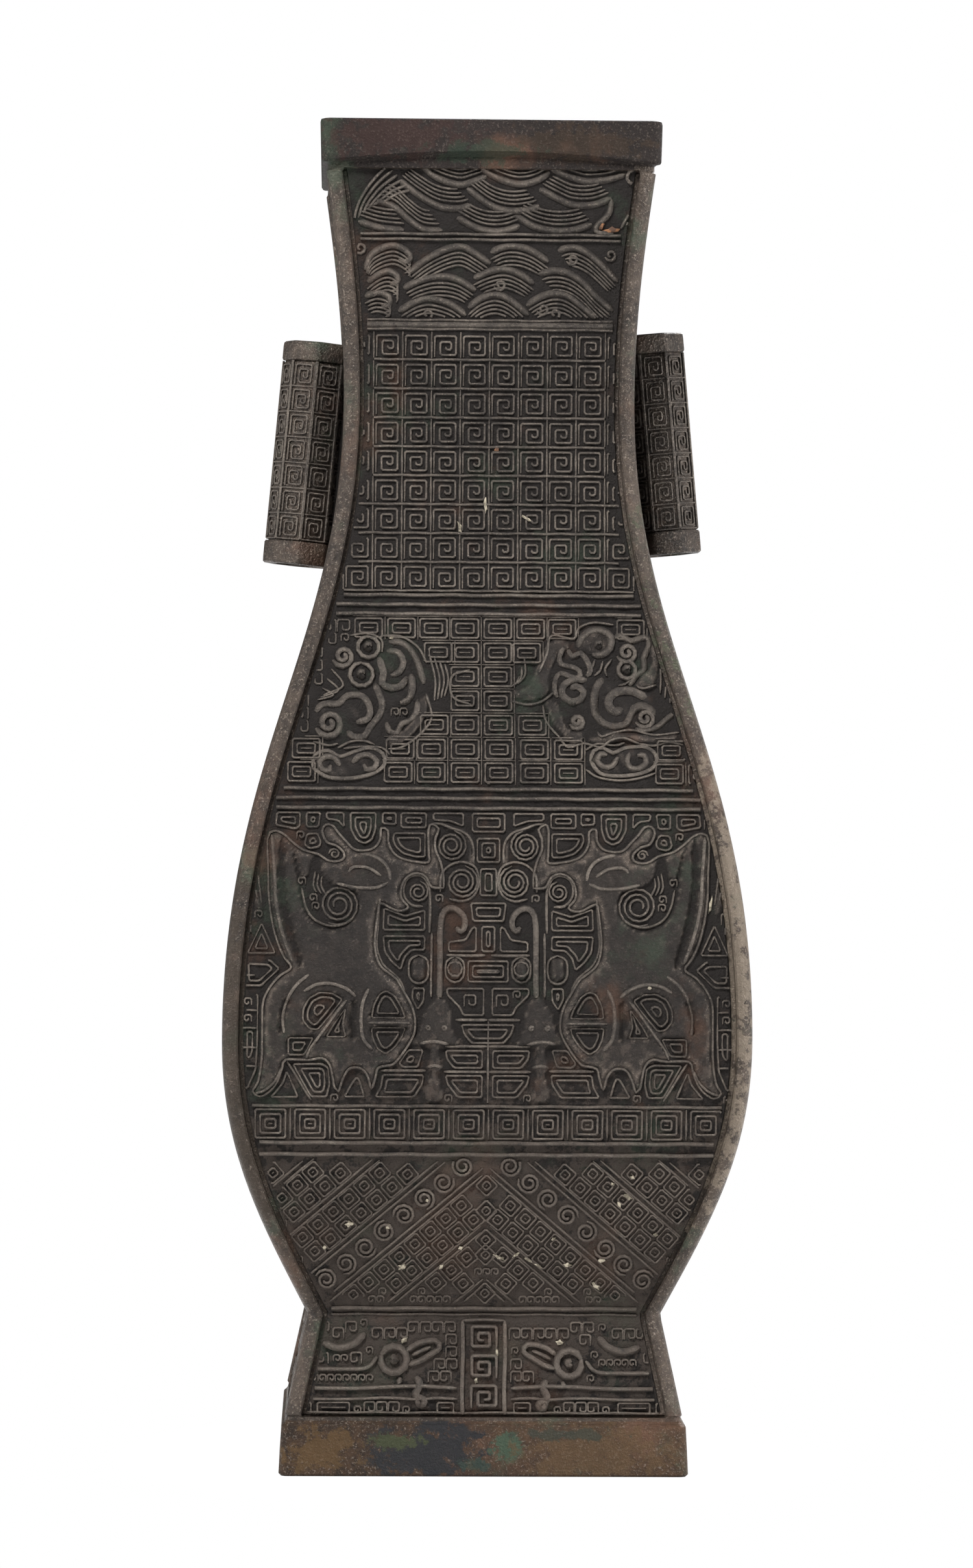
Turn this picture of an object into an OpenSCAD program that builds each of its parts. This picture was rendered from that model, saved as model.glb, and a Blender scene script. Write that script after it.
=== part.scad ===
// Archaistic bronze vase of rectangular section, cast in one piece.
// It stands on the XY plane. Its wide faces look along -Y and +Y, and its tube handles are on the X sides.

/* [Height] */
// Height of the foot, up to the waist
foot_h = 33; // [24:0.5:40]
// Rise from the waist to the widest point of the belly
belly_rise = 57; // [45:0.5:75]
// Rise from the widest point of the belly to the narrowest point of the neck
shoulder_rise = 132; // [115:0.5:150]
// Rise from the narrowest point of the neck to the lip
flare_rise = 49.5; // [42:0.5:65]
// Height of the plain lip band
lip_band_h = 8.5; // [5:0.5:14]

/* [Width] */
// Width across the lip band
lip_w = 71; // [64:0.5:86]
// Width at the top of the neck, under the lip
mouth_w = 69; // [64:0.5:84]
// Width at the narrowest point of the neck
neck_w = 60.5; // [54:0.5:68]
// Width at the widest point of the belly
belly_w = 108.5; // [96:0.5:124]
// Width at the waist above the foot
waist_w = 73; // [62:0.5:84]
// Width across the foot band
foot_w = 84.5; // [76:0.5:96]

/* [Depth] */
// Depth across the lip band
lip_d = 55; // [50:0.5:68]
// Depth at the top of the neck, under the lip
mouth_d = 53; // [48:0.5:66]
// Depth at the narrowest point of the neck
neck_d = 46; // [42:0.5:54]
// Depth at the widest point of the belly
belly_d = 83; // [72:0.5:98]
// Depth at the waist above the foot
waist_d = 57; // [50:0.5:68]
// Depth across the foot band
foot_d = 66; // [58:0.5:76]

/* [Wall] */
// Thickness of the wall behind the corner strips
wall = 4; // [3.2:0.1:5.5]
// Thickness of the plate that closes the vessel above the hollow foot
floor_t = 3.5; // [2.5:0.1:6]
// Depth of the panels below the corner strips
recess = 1.3; // [0.8:0.1:1.8]
// Width of the corner strips
strip_w = 3.3; // [2.4:0.1:5]

/* [Bands] */
// Height of the plain foot band
foot_band_h = 10.7; // [7:0.1:15]
// How much higher the edge of the lip band is at the middle of a face than at its ends
lip_arch = 2.2; // [0:0.1:3.5]
// Height of the groove between a band and the ends of the corner strips
notch_h = 1.4; // [0.8:0.1:2.5]

/* [Registers] */
// Height of a thin raised line
line_h = 0.9; // [0.6:0.1:1.4]
// Distance from one raised line to the next
line_pitch = 1.7; // [1.5:0.1:2.4]
// Height that a raised line stands above its panel
line_t = 0.9; // [0.5:0.1:1.2]
// Height that the patterns stand above their panel
fret_t = 0.7; // [0.4:0.1:1]
// Width of the ridge of a fret
fret_w = 0.9; // [0.6:0.05:1.1]
// Plain groove between a corner strip and the patterns
groove = 0.6; // [0.3:0.1:1.2]
// Height of the lozenge register, above the waist
lozenge_h = 31.5; // [24:0.5:38]
// Height of the row of nested squares
squares_h = 6.4; // [5:0.1:10]
// Distance from one nested square to the next
squares_pitch = 8.1; // [7:0.1:11]
// Height of the register with the pair of beasts
beast_h = 59.5; // [58:0.1:70]
// Height of a fret cell in the roundel register
roundel_cell_h = 5.03; // [4:0.01:6]
// Width of a fret cell in the roundel register
roundel_cell_w = 6.8; // [5.5:0.1:8]
// Distance of a roundel from the middle of its face
roundel_x = 26.5; // [25:0.5:29]
// Number of fret rows in the roundel register
roundel_rows = 7; // [5:1:8]
// Size of a square fret cell on the neck
neck_cell = 6.02; // [5:0.02:7]
// Number of fret rows on the neck
neck_rows = 9; // [6:1:10]
// Thickness of the crest of a wave
crest_w = 1.5; // [1:0.1:2]
// Height of the raised band above the neck's frets
collar_h = 1.5; // [1:0.1:2.5]

/* [Tube handles] */
// Width of a tube across its flats
tube_flats = 14.2; // [12:0.1:18]
// Radius of the bore through a tube
tube_bore_r = 5; // [3.5:0.05:5.5]
// Length of a tube
tube_l = 47.5; // [36:0.5:60]
// Tilt of a tube away from the neck at its foot
tube_tilt = 5.2; // [0:0.1:8]
// Distance of the left tube's middle from the side of the neck
left_tube_out = 6.75; // [5.5:0.05:9]
// Distance of the right tube's middle from the side of the neck
right_tube_out = 5.95; // [5.5:0.05:9]
// How far the left tube's middle lies below the narrowest point of the neck
left_tube_drop = 9.4; // [0:0.1:16]
// How far the right tube's middle lies below the narrowest point of the neck
right_tube_drop = 7.3; // [0:0.1:16]
// Height of the plain band at the top of a tube
tube_top_band = 4; // [2.5:0.1:8]
// Height of the plain band at the foot of a tube
tube_low_band = 4.8; // [2.5:0.1:8]
// Depth of a tube's panels below its bands
tube_sink = 0.5; // [0.3:0.1:0.8]
// Width of the seat that joins a tube to the neck
seat_w = 6; // [4:0.1:8]
// Turn of the left tube about its own axis
left_tube_turn = 0; // [0:0.5:45]
// Turn of the right tube about its own axis
right_tube_turn = 22.5; // [0:0.5:45]

/* [Hidden] */
$fn = 48;
steps_belly = 5;
steps_shoulder = 7;
steps_flare = 4;
reach = 200;
merge = 0.5;
foot_taper = 1.6;
waist_z = foot_h;
belly_z = waist_z + belly_rise;
neck_z = belly_z + shoulder_rise;
lip_z = neck_z + flare_rise;
height = lip_z + lip_band_h;
mask_z = foot_band_h + notch_h;
lozenge_z = waist_z + notch_h;
squares_z = lozenge_z + lozenge_h + 2 * line_pitch;
beast_z = squares_z + squares_h + line_pitch;
roundel_z = beast_z + beast_h + 3 * line_pitch;
frets_z = roundel_z + roundel_rows * roundel_cell_h + 3 * line_pitch;
collar_z = frets_z + neck_rows * neck_cell + 0.4;
waves_z = collar_z + collar_h + 0.5;
divider_z = waves_z + 16;
left_tube_x = neck_w / 2 + left_tube_out;
right_tube_x = neck_w / 2 + right_tube_out;
left_tube_z = neck_z - left_tube_drop;
right_tube_z = neck_z - right_tube_drop;

function bezier(a, b, c, d, n) = [for (i = [0:n]) let (t = i / n, s = 1 - t)
    s * s * s * a + 3 * s * s * t * b + 3 * s * t * t * c + t * t * t * d];
function tail(list) = [for (i = [1:1:len(list) - 1]) list[i]];

// Half the outline of a face, as points [half width, height] from the foot band up to the lip.
function outline(foot, waist, belly, neck, mouth) =
    let (base = [(foot - foot_taper) / 2 - 0.1, foot_band_h],
         low = [waist / 2, waist_z],
         wide = [belly / 2, belly_z],
         slim = [neck / 2, neck_z],
         top = [mouth / 2, lip_z],
         low_pull = [(wide[0] - low[0]) * 0.54, belly_rise * 0.32],
         top_pull = [flare_rise * 0.042, flare_rise * 0.31])
    concat(
        [base],
        bezier(low, low + low_pull, wide - [0, belly_rise * 0.39], wide, steps_belly),
        tail(bezier(wide, wide + [0, shoulder_rise * 0.42], slim - [0, shoulder_rise * 0.36], slim,
            steps_shoulder)),
        tail(bezier(slim, slim + [0, flare_rise * 0.4], top - top_pull, top, steps_flare)));

front = outline(foot_w, waist_w, belly_w, neck_w, mouth_w);
side = outline(foot_d, waist_d, belly_d, neck_d, mouth_d);

// Half width of an outline at a height.
function at(line, z) =
    let (i = max([for (k = [0:len(line) - 2]) if (line[k][1] <= z || k == 0) k]),
         a = line[i],
         b = line[i + 1])
    a[0] + (b[0] - a[0]) * (z - a[1]) / (b[1] - a[1]);

// The stretch of an outline between two heights, moved out by grow.
function stretch(line, z1, z2, grow) = [
    [at(line, z1) + grow, z1],
    for (p = line) if (p[1] > z1 + 0.01 && p[1] < z2 - 0.01) [p[0] + grow, p[1]],
    [at(line, z2) + grow, z2]];
function both_sides(half) = concat(half, [for (i = [len(half) - 1:-1:0]) [-half[i][0], half[i][1]]]);

module along_y(length) {
    rotate([90, 0, 0]) linear_extrude(length, center = true) children();
}
module along_x(length) {
    rotate([90, 0, 90]) linear_extrude(length, center = true) children();
}

// The body between two heights, moved in or out on all four sides.
module block(z1, z2, grow) {
    intersection() {
        along_y(reach) polygon(both_sides(stretch(front, z1, z2, grow)));
        along_x(reach) polygon(both_sides(stretch(side, z1, z2, grow)));
    }
}

// A plain band with straight sides that lean from one size to another.
module band(z1, z2, w1, w2, d1, d2) {
    intersection() {
        along_y(reach) polygon([[-w1 / 2, z1], [w1 / 2, z1], [w2 / 2, z2], [-w2 / 2, z2]]);
        along_x(reach) polygon([[-d1 / 2, z1], [d1 / 2, z1], [d2 / 2, z2], [-d2 / 2, z2]]);
    }
}

// The face of the lip band, whose lower edge rises in an arch to the middle.
module lip_face(w) {
    edge = [for (t = [-1:0.25:1]) [t * w / 2, lip_z + lip_arch * (1 - t * t)]];
    polygon(concat(edge, [[w / 2, height], [-w / 2, height]]));
}
module lip_band() {
    intersection() {
        along_y(reach) lip_face(lip_w);
        along_x(reach) lip_face(lip_d);
    }
}

module foot_band() {
    band(0, foot_band_h, foot_w, foot_w - foot_taper, foot_d, foot_d - foot_taper);
}

module corner_strips() {
    low = foot_band_h + notch_h;
    high = lip_z - notch_h;
    difference() {
        block(low, high, 0);
        along_y(reach) polygon(both_sides(stretch(front, low - 0.5, high + 0.5, -strip_w)));
        along_x(reach) polygon(both_sides(stretch(side, low - 0.5, high + 0.5, -strip_w)));
    }
}

// Raised lines all round the body, one above the other.
module lines(z, count) {
    for (k = [0:count - 1]) {
        low = z + (k + 0.5) * line_pitch - line_h / 2;
        block(low, low + line_h, line_t - recess);
    }
}

// The inside above the floor plate, the mouth, and the hollow under the foot.
module cavity() {
    both = 2 * wall;
    block(waist_z, lip_z, -wall);
    band(lip_z - 0.01, height + 1, mouth_w - both, mouth_w - both, mouth_d - both, mouth_d - both);
    band(-1, waist_z - floor_t, foot_w - both, waist_w - both, foot_d - both, waist_d - both);
}

// What fills the lip band from behind, up to just under its top edge.
module lip_core() {
    w = mouth_w - 2 * recess;
    d = mouth_d - 2 * recess;
    band(lip_z - 0.01, height - 0.2, w, w, d, d);
}

// Stands a flat pattern out of the front and back panels between two heights.
module raised(z1, z2, up) {
    start = neck_d / 2 - recess - wall / 2;
    intersection() {
        for (end = [0, 180]) rotate([90, 0, end])
            translate([0, 0, start]) linear_extrude(reach) children();
        along_x(reach) polygon(both_sides(stretch(side, z1, z2, up - recess)));
        along_y(reach) polygon(both_sides(stretch(front, z1, z2, -strip_w - groove)));
    }
}

// The same out of the two narrow side panels, with the pattern drawn together to their width.
module raised_sides(z1, z2, up) {
    start = neck_w / 2 - recess - wall / 2;
    intersection() {
        for (end = [90, 270]) rotate([90, 0, end])
            translate([0, 0, start]) linear_extrude(reach) scale([belly_d / belly_w, 1]) children();
        along_y(reach) polygon(both_sides(stretch(front, z1, z2, up - recess)));
        along_x(reach) polygon(both_sides(stretch(side, z1, z2, -strip_w - groove)));
    }
}

// Direction across a line of points, at one of them.
function across(p, i) =
    let (a = p[max(i - 1, 0)], b = p[min(i + 1, len(p) - 1)], d = (b - a) / norm(b - a))
    [-d[1], d[0]];

// A ridge along a line of points, which narrows to a point at each end.
module ridge(p, w) {
    last = len(p) - 1;
    polygon(concat(
        [for (i = [0:last]) p[i] + across(p, i) * (i == 0 || i == last ? 0 : w / 2)],
        [for (i = [last - 1:-1:1]) p[i] - across(p, i) * w / 2]));
}

// A round curl that winds inwards.
function curl(r, turns, from, n) = [for (i = [0:n])
    let (a = from - 360 * turns * i / n, s = r * (1 - 0.7 * i / n)) [s * cos(a), s * sin(a)]];

// A square hook of one ridge in a cell, with pointed ends.
module fret(w, h, ridge_w) {
    x = w / 2 - ridge_w * 0.7;
    y = h / 2 - ridge_w * 0.7;
    polygon([
        [-x, -y], [x, -y], [x, y], [-x * 0.6, y], [x - ridge_w, y - ridge_w], [x - ridge_w, -y + ridge_w]]);
}

module square_ring(size, ridge_w) {
    difference() {
        square(size, center = true);
        square(size - 2 * ridge_w, center = true);
    }
}

module neck_frets() {
    for (row = [0:neck_rows - 1]) {
        low = frets_z + row * neck_cell;
        room = min(at(front, low), at(front, low + neck_cell)) - strip_w - groove;
        count = floor(room / neck_cell);
        for (k = [-count:count - 1])
            translate([(k + 0.5) * neck_cell, low + neck_cell / 2]) fret(neck_cell, neck_cell, fret_w);
    }
}

// The crest of one wave. A positive rise hangs, a negative one stands.
module wave(x, z, w, rise) {
    low = rise * 0.16;
    full = low + sign(rise) * crest_w;
    translate([x, z]) polygon([[-w / 2, rise], [-w / 5, low], [w / 5, low], [w / 2, rise],
        [w / 5, full], [-w / 5, full]]);
}
module waves(every) {
    hanging = [
        [-8, 28, 15, 3.6], [4.5, 28.2, 15, 3.2], [19.5, 28.8, 17, 2.6],
        [-11, 23, 14, 3.6], [3, 22.7, 14, 3], [17.5, 23.8, 15, 2.3],
        [-17, 18.6, 13, 3.4], [-0.5, 18, 12.5, 2.2], [13.5, 18.1, 15, 2.4]];
    standing = [
        [-20, 15, 11, -4], [-8, 15, 17, -4.6], [6, 15.4, 12.5, -2.6], [19.5, 14.6, 13, -4],
        [-10.5, 8.9, 15, -2.9], [3, 10.5, 12.5, -2.6], [17.5, 9.6, 15, -5],
        [-12, 4.2, 14, -3.2], [1.8, 5.2, 12.5, -3.6], [14.5, 5.6, 14.5, -4]];
    crests = concat(hanging, standing);
    for (i = [0:every:len(crests) - 1]) wave(crests[i][0], crests[i][1], crests[i][2], crests[i][3]);
    if (every == 1) for (k = [0:1]) ridge([[-28.5 + 2 * k, 19.5], [-27 + 2 * k, 25], [-22 + 2 * k, 31]], 0.9);
    if (every == 1) ridge([[24.5, 18], [26, 20], [30.5, 26]], 0.9);
}

// The whorl of a beast curled up in the roundel register.
module roundel() {
    ridge(curl(4.8, 1, 200, 5), 1.4);
    translate([6.8, -3.8]) ridge(curl(3, 0.7, 0, 3), 1.2);
    translate([3.4, 9.5]) ridge(curl(2.9, 0.7, 90, 3), 1.2);
    ridge([[-20, 1.5], [-13, 10], [-6, 13.8], [3, 14.2], [9.5, 10]], 1.5);
    ridge([[-9, 8], [-6.5, 2], [-4.5, -6], [4, -7]], 1.3);
}
module side_roundel_register() {
    middle = roundel_rows * roundel_cell_h / 2;
    for (hand = [0, 1]) mirror([hand, 0]) translate([roundel_x, middle]) {
        circle(4.6, $fn = 6);
        ridge([[-20, 1.5], [-13, 10], [-6, 13.8], [3, 14.2], [9.5, 10]], 1.5);
        ridge([[-11, 3], [-8.5, -6], [0, -10], [8, -7.5], [12, 0]], 1.5);
    }
}
module roundel_register() {
    middle = roundel_rows * roundel_cell_h / 2;
    for (row = [0:roundel_rows - 1], k = [-1:1])
        translate([(k + 0.3) * roundel_cell_w, (row + 0.5) * roundel_cell_h])
            fret(roundel_cell_w, roundel_cell_h, fret_w);
    for (hand = [0, 1]) mirror([hand, 0]) translate([roundel_x, middle]) {
        roundel();
        translate([1, -12]) ridge([[-9, 2], [-6.5, -1.5], [0, -2.5], [6.5, -1.5], [9, 2]], 1.3);
    }
}

module squares_register() {
    count = floor((at(front, squares_z) - strip_w - groove) / squares_pitch);
    for (k = [-count:count - 1])
        translate([(k + 0.5) * squares_pitch, squares_h / 2]) square_ring(squares_h - 0.6, fret_w);
}

// The right beast of the pair that face the middle. Its left neighbour mirrors it.
module beast_body() {
    polygon([[20, 45], [21.5, 49.5], [26, 51], [33, 50], [34.5, 46], [26, 43]]);
    polygon([[44, 54], [44.6, 42], [41.5, 31], [36, 25], [25, 22.5], [24, 34], [33.5, 34], [39, 42]]);
    polygon([[33, 25], [38, 25.5], [42, 24], [45.3, 19], [47.6, 2.5], [42.3, 9], [41, 18]]);
    polygon([[25, 21], [28, 21], [28.5, 11.5], [35, 9], [31.5, 7], [30.3, 2.5], [28, 6.5], [24.3, 3],
        [23.6, 8]]);
}
module beast() {
    beast_body();
    translate([31.5, 40]) ridge(curl(3.6, 0.9, 250, 5), 1.2);
    translate([34, 16.5]) ridge(curl(4.2, 0.9, 60, 5), 1.2);
}
module bell() {
    polygon([[10.6, 39.5], [10.6, 21.5], [13.7, 17], [15.5, 12], [11.8, 12], [12.7, 1], [9.2, 1],
        [9.9, 12], [6, 12], [7.4, 17], [9.2, 21.5], [9.2, 39.5]]);
}
module seed(w, h) {
    for (end = [0, 180]) rotate(end)
        polygon([[-w, 0.5], [w, 0.5], [w * 0.7, h * 0.7], [0, h], [-w * 0.7, h * 0.7]]);
}
module beast_register() {
    for (hand = [0, 1]) mirror([hand, 0]) {
        beast();
        bell();
        translate([20.2, 16.6]) seed(4.4, 7.2);
        translate([5.4, 44.8]) ridge(curl(3, 0.9, 100, 5), 1.1);
        translate([7.6, 52.4]) ridge(curl(2.6, 0.9, 60, 4), 1.1);
        translate([17, 33]) fret(8.6, 9, fret_w);
        for (z = [3, 8.4]) translate([4.5, z]) fret(8.4, 5, fret_w);
    }
    for (z = [20, 26.5]) translate([0, z]) fret(9, 5.4, fret_w);
}
module side_beast_register() {
    for (hand = [0, 1]) mirror([hand, 0]) {
        beast_body();
        bell();
        translate([20.2, 16.6]) seed(4.4, 7.2);
        translate([6, 46]) circle(3.4, $fn = 6);
        translate([16.5, 33]) square([7, 8], center = true);
    }
}

// Slanting rows of lines with curls between them.
module lozenge_register() {
    for (hand = [0, 1]) mirror([hand, 0]) {
        for (x = [-0.4, 13]) {
            low = [x + lozenge_h * 1.15, 0];
            polygon([[x, lozenge_h], [x + 1, lozenge_h], low + [1, 0], low]);
        }
        for (k = [0:4]) translate([8.5 + 5.6 * k, 27 - 4.9 * k]) ridge(curl(2.3, 0.7, 30, 3), 1.1);
        translate([30, 23]) rotate(45) square(3.4, center = true);
    }
    translate([0, 13]) rotate(45) square(3.4, center = true);
}

module side_lozenge_register() {
    for (hand = [0, 1]) mirror([hand, 0]) for (x = [-0.4, 13]) {
        low = [x + lozenge_h * 1.15, 0];
        polygon([[x, lozenge_h], [x + 1, lozenge_h], low + [1, 0], low]);
    }
}

// A beast's mask in plain bars on the foot, the same on both sides of a middle column.
module mask_register() {
    for (hand = [0, 1]) mirror([hand, 0]) {
        translate([4, 0.9]) square([0.9, 18.5]);
        translate([19.3, 11.6]) {
            difference() {
                circle(3.5, $fn = 6);
                circle(2.3, $fn = 6);
            }
            circle(1.2, $fn = 6);
        }
        ridge([[8, 17], [9.2, 13.5], [14, 13]], 1.2);
        ridge([[9, 17], [15, 16.5], [17, 15]], 1.2);
        translate([23.5, 8.8]) square([12, 1]);
        translate([14, 4.8]) square([22, 0.9]);
        translate([11.5, 3.5]) square([2, 4.5]);
    }
    for (z = [16, 10, 4]) translate([0, z]) fret(6.4, 5.6, fret_w);
}

module side_mask_register() {
    for (hand = [0, 1]) mirror([hand, 0]) {
        translate([4, 0.9]) square([0.9, 18.5]);
        translate([19.3, 11.6]) circle(3.2, $fn = 6);
        translate([14, 4.8]) square([22, 0.9]);
    }
}

// Puts what follows on the axis of a tube. The hand is -1 for the left tube and 1 for the right one.
module tube_place(x, z, turn, hand) {
    translate([hand * x, 0, z]) rotate([0, -hand * tube_tilt, 0]) rotate([0, 0, turn]) children();
}
module tube_prism(l, flats) {
    cylinder(h = l, r = flats / 2 / cos(22.5), $fn = 8);
}
module tube(x, z, turn, hand) {
    tube_place(x, z, turn, hand) translate([0, 0, -tube_l / 2]) {
        tube_prism(tube_l, tube_flats - 2 * tube_sink);
        tube_prism(tube_low_band, tube_flats);
        translate([0, 0, tube_l - tube_top_band]) tube_prism(tube_top_band, tube_flats);
    }
    tube_place(x, z, 0, hand) translate([-hand * tube_flats / 2, 0, 0])
        cube([seat_w, seat_w, tube_l - 2 * tube_low_band], center = true);
}
module tube_bore(x, z, turn, hand) {
    tube_place(x, z, turn, hand) cylinder(h = tube_l + 2, r = tube_bore_r, center = true);
}

// The rings round the body and the patterns between them, from the foot up.
module decoration() {
    lines(waist_z + notch_h - line_pitch, 1);
    lines(squares_z - 2 * line_pitch, 2);
    lines(beast_z - line_pitch, 1);
    lines(roundel_z - 3 * line_pitch, 3);
    lines(frets_z - 3 * line_pitch, 3);
    block(collar_z, collar_z + collar_h, line_t - recess);
    lines(divider_z, 1);
    raised(mask_z, waist_z, fret_t) translate([0, mask_z]) mask_register();
    raised(lozenge_z, squares_z - 2 * line_pitch, fret_t) translate([0, lozenge_z]) lozenge_register();
    raised(squares_z, beast_z - line_pitch, fret_t) translate([0, squares_z]) squares_register();
    raised(beast_z, roundel_z - 3 * line_pitch, fret_t) translate([0, beast_z]) beast_register();
    raised(roundel_z, frets_z - 3 * line_pitch, fret_t) translate([0, roundel_z]) roundel_register();
    raised(frets_z, collar_z, fret_t) neck_frets();
    raised(waves_z, lip_z + merge, fret_t) translate([0, waves_z]) waves(1);
    raised_sides(mask_z, waist_z, fret_t) translate([0, mask_z]) side_mask_register();
    raised_sides(lozenge_z, squares_z - 2 * line_pitch, fret_t) translate([0, lozenge_z])
        side_lozenge_register();
    raised_sides(beast_z, roundel_z - 3 * line_pitch, fret_t) translate([0, beast_z]) side_beast_register();
    raised_sides(roundel_z, frets_z - 3 * line_pitch, fret_t) translate([0, roundel_z])
        side_roundel_register();
    raised_sides(waves_z, lip_z + merge, fret_t) translate([0, waves_z]) waves(3);
}

module vase() {
    color([0.2, 0.18, 0.16]) difference() {
        union() {
            block(foot_band_h - merge, lip_z, -recess);
            lip_core();
            lip_band();
            foot_band();
            corner_strips();
            decoration();
            tube(left_tube_x, left_tube_z, left_tube_turn, -1);
            tube(right_tube_x, right_tube_z, right_tube_turn, 1);
        }
        cavity();
        tube_bore(left_tube_x, left_tube_z, left_tube_turn, -1);
        tube_bore(right_tube_x, right_tube_z, right_tube_turn, 1);
    }
}

vase();
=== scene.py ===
import math

import bpy
import numpy as np
from mathutils import Matrix, Vector


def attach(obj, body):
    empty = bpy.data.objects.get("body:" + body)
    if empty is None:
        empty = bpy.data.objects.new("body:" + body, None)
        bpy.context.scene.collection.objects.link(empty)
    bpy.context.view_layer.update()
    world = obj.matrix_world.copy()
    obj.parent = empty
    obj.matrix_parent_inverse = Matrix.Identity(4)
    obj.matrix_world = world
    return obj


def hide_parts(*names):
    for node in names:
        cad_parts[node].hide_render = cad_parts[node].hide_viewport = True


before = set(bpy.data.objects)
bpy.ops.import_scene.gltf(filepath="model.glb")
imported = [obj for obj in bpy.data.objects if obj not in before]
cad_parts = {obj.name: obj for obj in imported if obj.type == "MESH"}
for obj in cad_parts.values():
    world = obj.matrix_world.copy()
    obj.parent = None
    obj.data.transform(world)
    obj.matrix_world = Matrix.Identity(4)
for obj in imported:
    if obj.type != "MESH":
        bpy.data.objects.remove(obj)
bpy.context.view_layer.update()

# The view: a level camera at half the vase's height, turned a little to its left side.
# It is rolled by the 0.4 degrees that the vase leans in the picture.
eye_distance, eye_aside, eye_height = 1.1, 0.0006, 0.1425
eye_turn, eye_roll = math.radians(1.7), math.radians(0.39)
view_height, sensor_height = 0.3324, 24


def add_object(name, data):
    made = bpy.data.objects.new(name, data)
    bpy.context.collection.objects.link(made)
    return made


def look_along(place, way):
    """The matrix of a camera or lamp that stands at a place and looks along a direction."""
    return Matrix.Translation(place) @ way.to_track_quat("-Z", "Y").to_matrix().to_4x4()


camera_data = bpy.data.cameras.new("camera")
camera_data.sensor_fit = "VERTICAL"
camera_data.sensor_height = sensor_height
camera_data.lens = sensor_height * eye_distance / view_height
camera_data.clip_end = 20
camera = add_object("camera", camera_data)
sight = Vector((math.sin(eye_turn), math.cos(eye_turn), 0))
eye = Vector((eye_aside, 0, eye_height)) - sight * eye_distance
camera.matrix_world = look_along(eye, sight) @ Matrix.Rotation(eye_roll, 4, "Z")
bpy.context.scene.camera = camera

# The studio: a pale floor that runs into a pale surrounding, a raking soft box above on the left,
# a low one on each side and one behind. Nothing of it belongs to the vase. The surrounding, and
# the floor away from the foot, are seen as plain white.
white, floor_paint, floor_roughness = (1, 1, 1, 1), (0.93, 0.93, 0.93, 1), 0.9
sky_strength, fade_near, fade_far, near_white = 0.13, 0.03, 0.08, 0.82
lamp_aim = Vector((0, 0, 0.15))


def feed(tree, target, **inputs):
    """Sets inputs of a node, each to a value or to another node's output. Each is named in_ and
    the input's name or number."""
    for key, value in inputs.items():
        key = key[3:].replace("_", " ")
        socket = target.inputs[int(key) if key.isdigit() else key]
        if isinstance(value, bpy.types.NodeSocket):
            tree.links.new(value, socket)
        else:
            socket.default_value = value
    return target


def node(tree, kind, **settings):
    """A new node with its settings, and its inputs as feed takes them."""
    made = tree.nodes.new(kind)
    row, column = divmod(len(tree.nodes), 8)
    made.location = (column * 220, row * -280)
    for key in [key for key in settings if not key.startswith("in_")]:
        setattr(made, key, settings.pop(key))
    return feed(tree, made, **settings)


def ramp(tree, value, low, high, **ends):
    return node(tree, "ShaderNodeMapRange", interpolation_type="SMOOTHSTEP", in_Value=value,
                in_From_Min=low, in_From_Max=high, **ends).outputs["Result"]


def times(tree, first, second):
    return node(tree, "ShaderNodeMath", operation="MULTIPLY", in_0=first, in_1=second).outputs[0]


world = bpy.data.worlds.new("surrounding")
world.use_nodes = True
sky = world.node_tree
sky_light = feed(sky, sky.nodes["Background"], in_Color=white, in_Strength=sky_strength)
sky_seen = node(sky, "ShaderNodeBackground", in_Color=white, in_Strength=1.0)
by_eye = node(sky, "ShaderNodeLightPath").outputs["Is Camera Ray"]
sky_mix = node(sky, "ShaderNodeMixShader", in_0=by_eye, in_1=sky_light.outputs[0], in_2=sky_seen.outputs[0])
feed(sky, sky.nodes["World Output"], in_Surface=sky_mix.outputs[0])
bpy.context.scene.world = world
bpy.context.scene.view_settings.view_transform = "Standard"

for name, place, size, power in (("key_box", (-0.3, -0.6, 1.02), (0.28, 0.28), 19.5),
                                 ("left_box", (-0.85, -0.05, 0.3), (0.3, 0.8), 6),
                                 ("right_box", (0.85, -0.08, 0.3), (0.25, 0.8), 13),
                                 ("back_box", (0.35, 0.9, 0.75), (0.5, 0.5), 12)):
    lamp = bpy.data.lights.new(name, "AREA")
    lamp.shape = "RECTANGLE"
    lamp.size, lamp.size_y = size
    lamp.energy = power
    add_object(name, lamp).matrix_world = look_along(Vector(place), lamp_aim - Vector(place))

floor_material = bpy.data.materials.new("pale_floor")
floor_material.use_nodes = True
tree = floor_material.node_tree
shader = feed(tree, tree.nodes["Principled BSDF"], in_Base_Color=floor_paint, in_Roughness=floor_roughness)
spot = node(tree, "ShaderNodeTexCoord").outputs["Object"]
away = node(tree, "ShaderNodeVectorMath", operation="LENGTH", in_0=spot).outputs["Value"]
fade = ramp(tree, away, fade_near, fade_far, in_To_Min=near_white, in_To_Max=1.0)
by_eye = node(tree, "ShaderNodeLightPath").outputs["Is Camera Ray"]
floor_mix = node(tree, "ShaderNodeMixShader", in_0=times(tree, fade, by_eye), in_1=shader.outputs[0],
                 in_2=node(tree, "ShaderNodeEmission").outputs[0])
feed(tree, tree.nodes["Material Output"], in_Surface=floor_mix.outputs[0])
floor_mesh = bpy.data.meshes.new("floor")
floor_mesh.from_pydata([(-4, -3, 0), (4, -3, 0), (4, 5, 0), (-4, 5, 0)], [], [(0, 1, 2, 3)])
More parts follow.
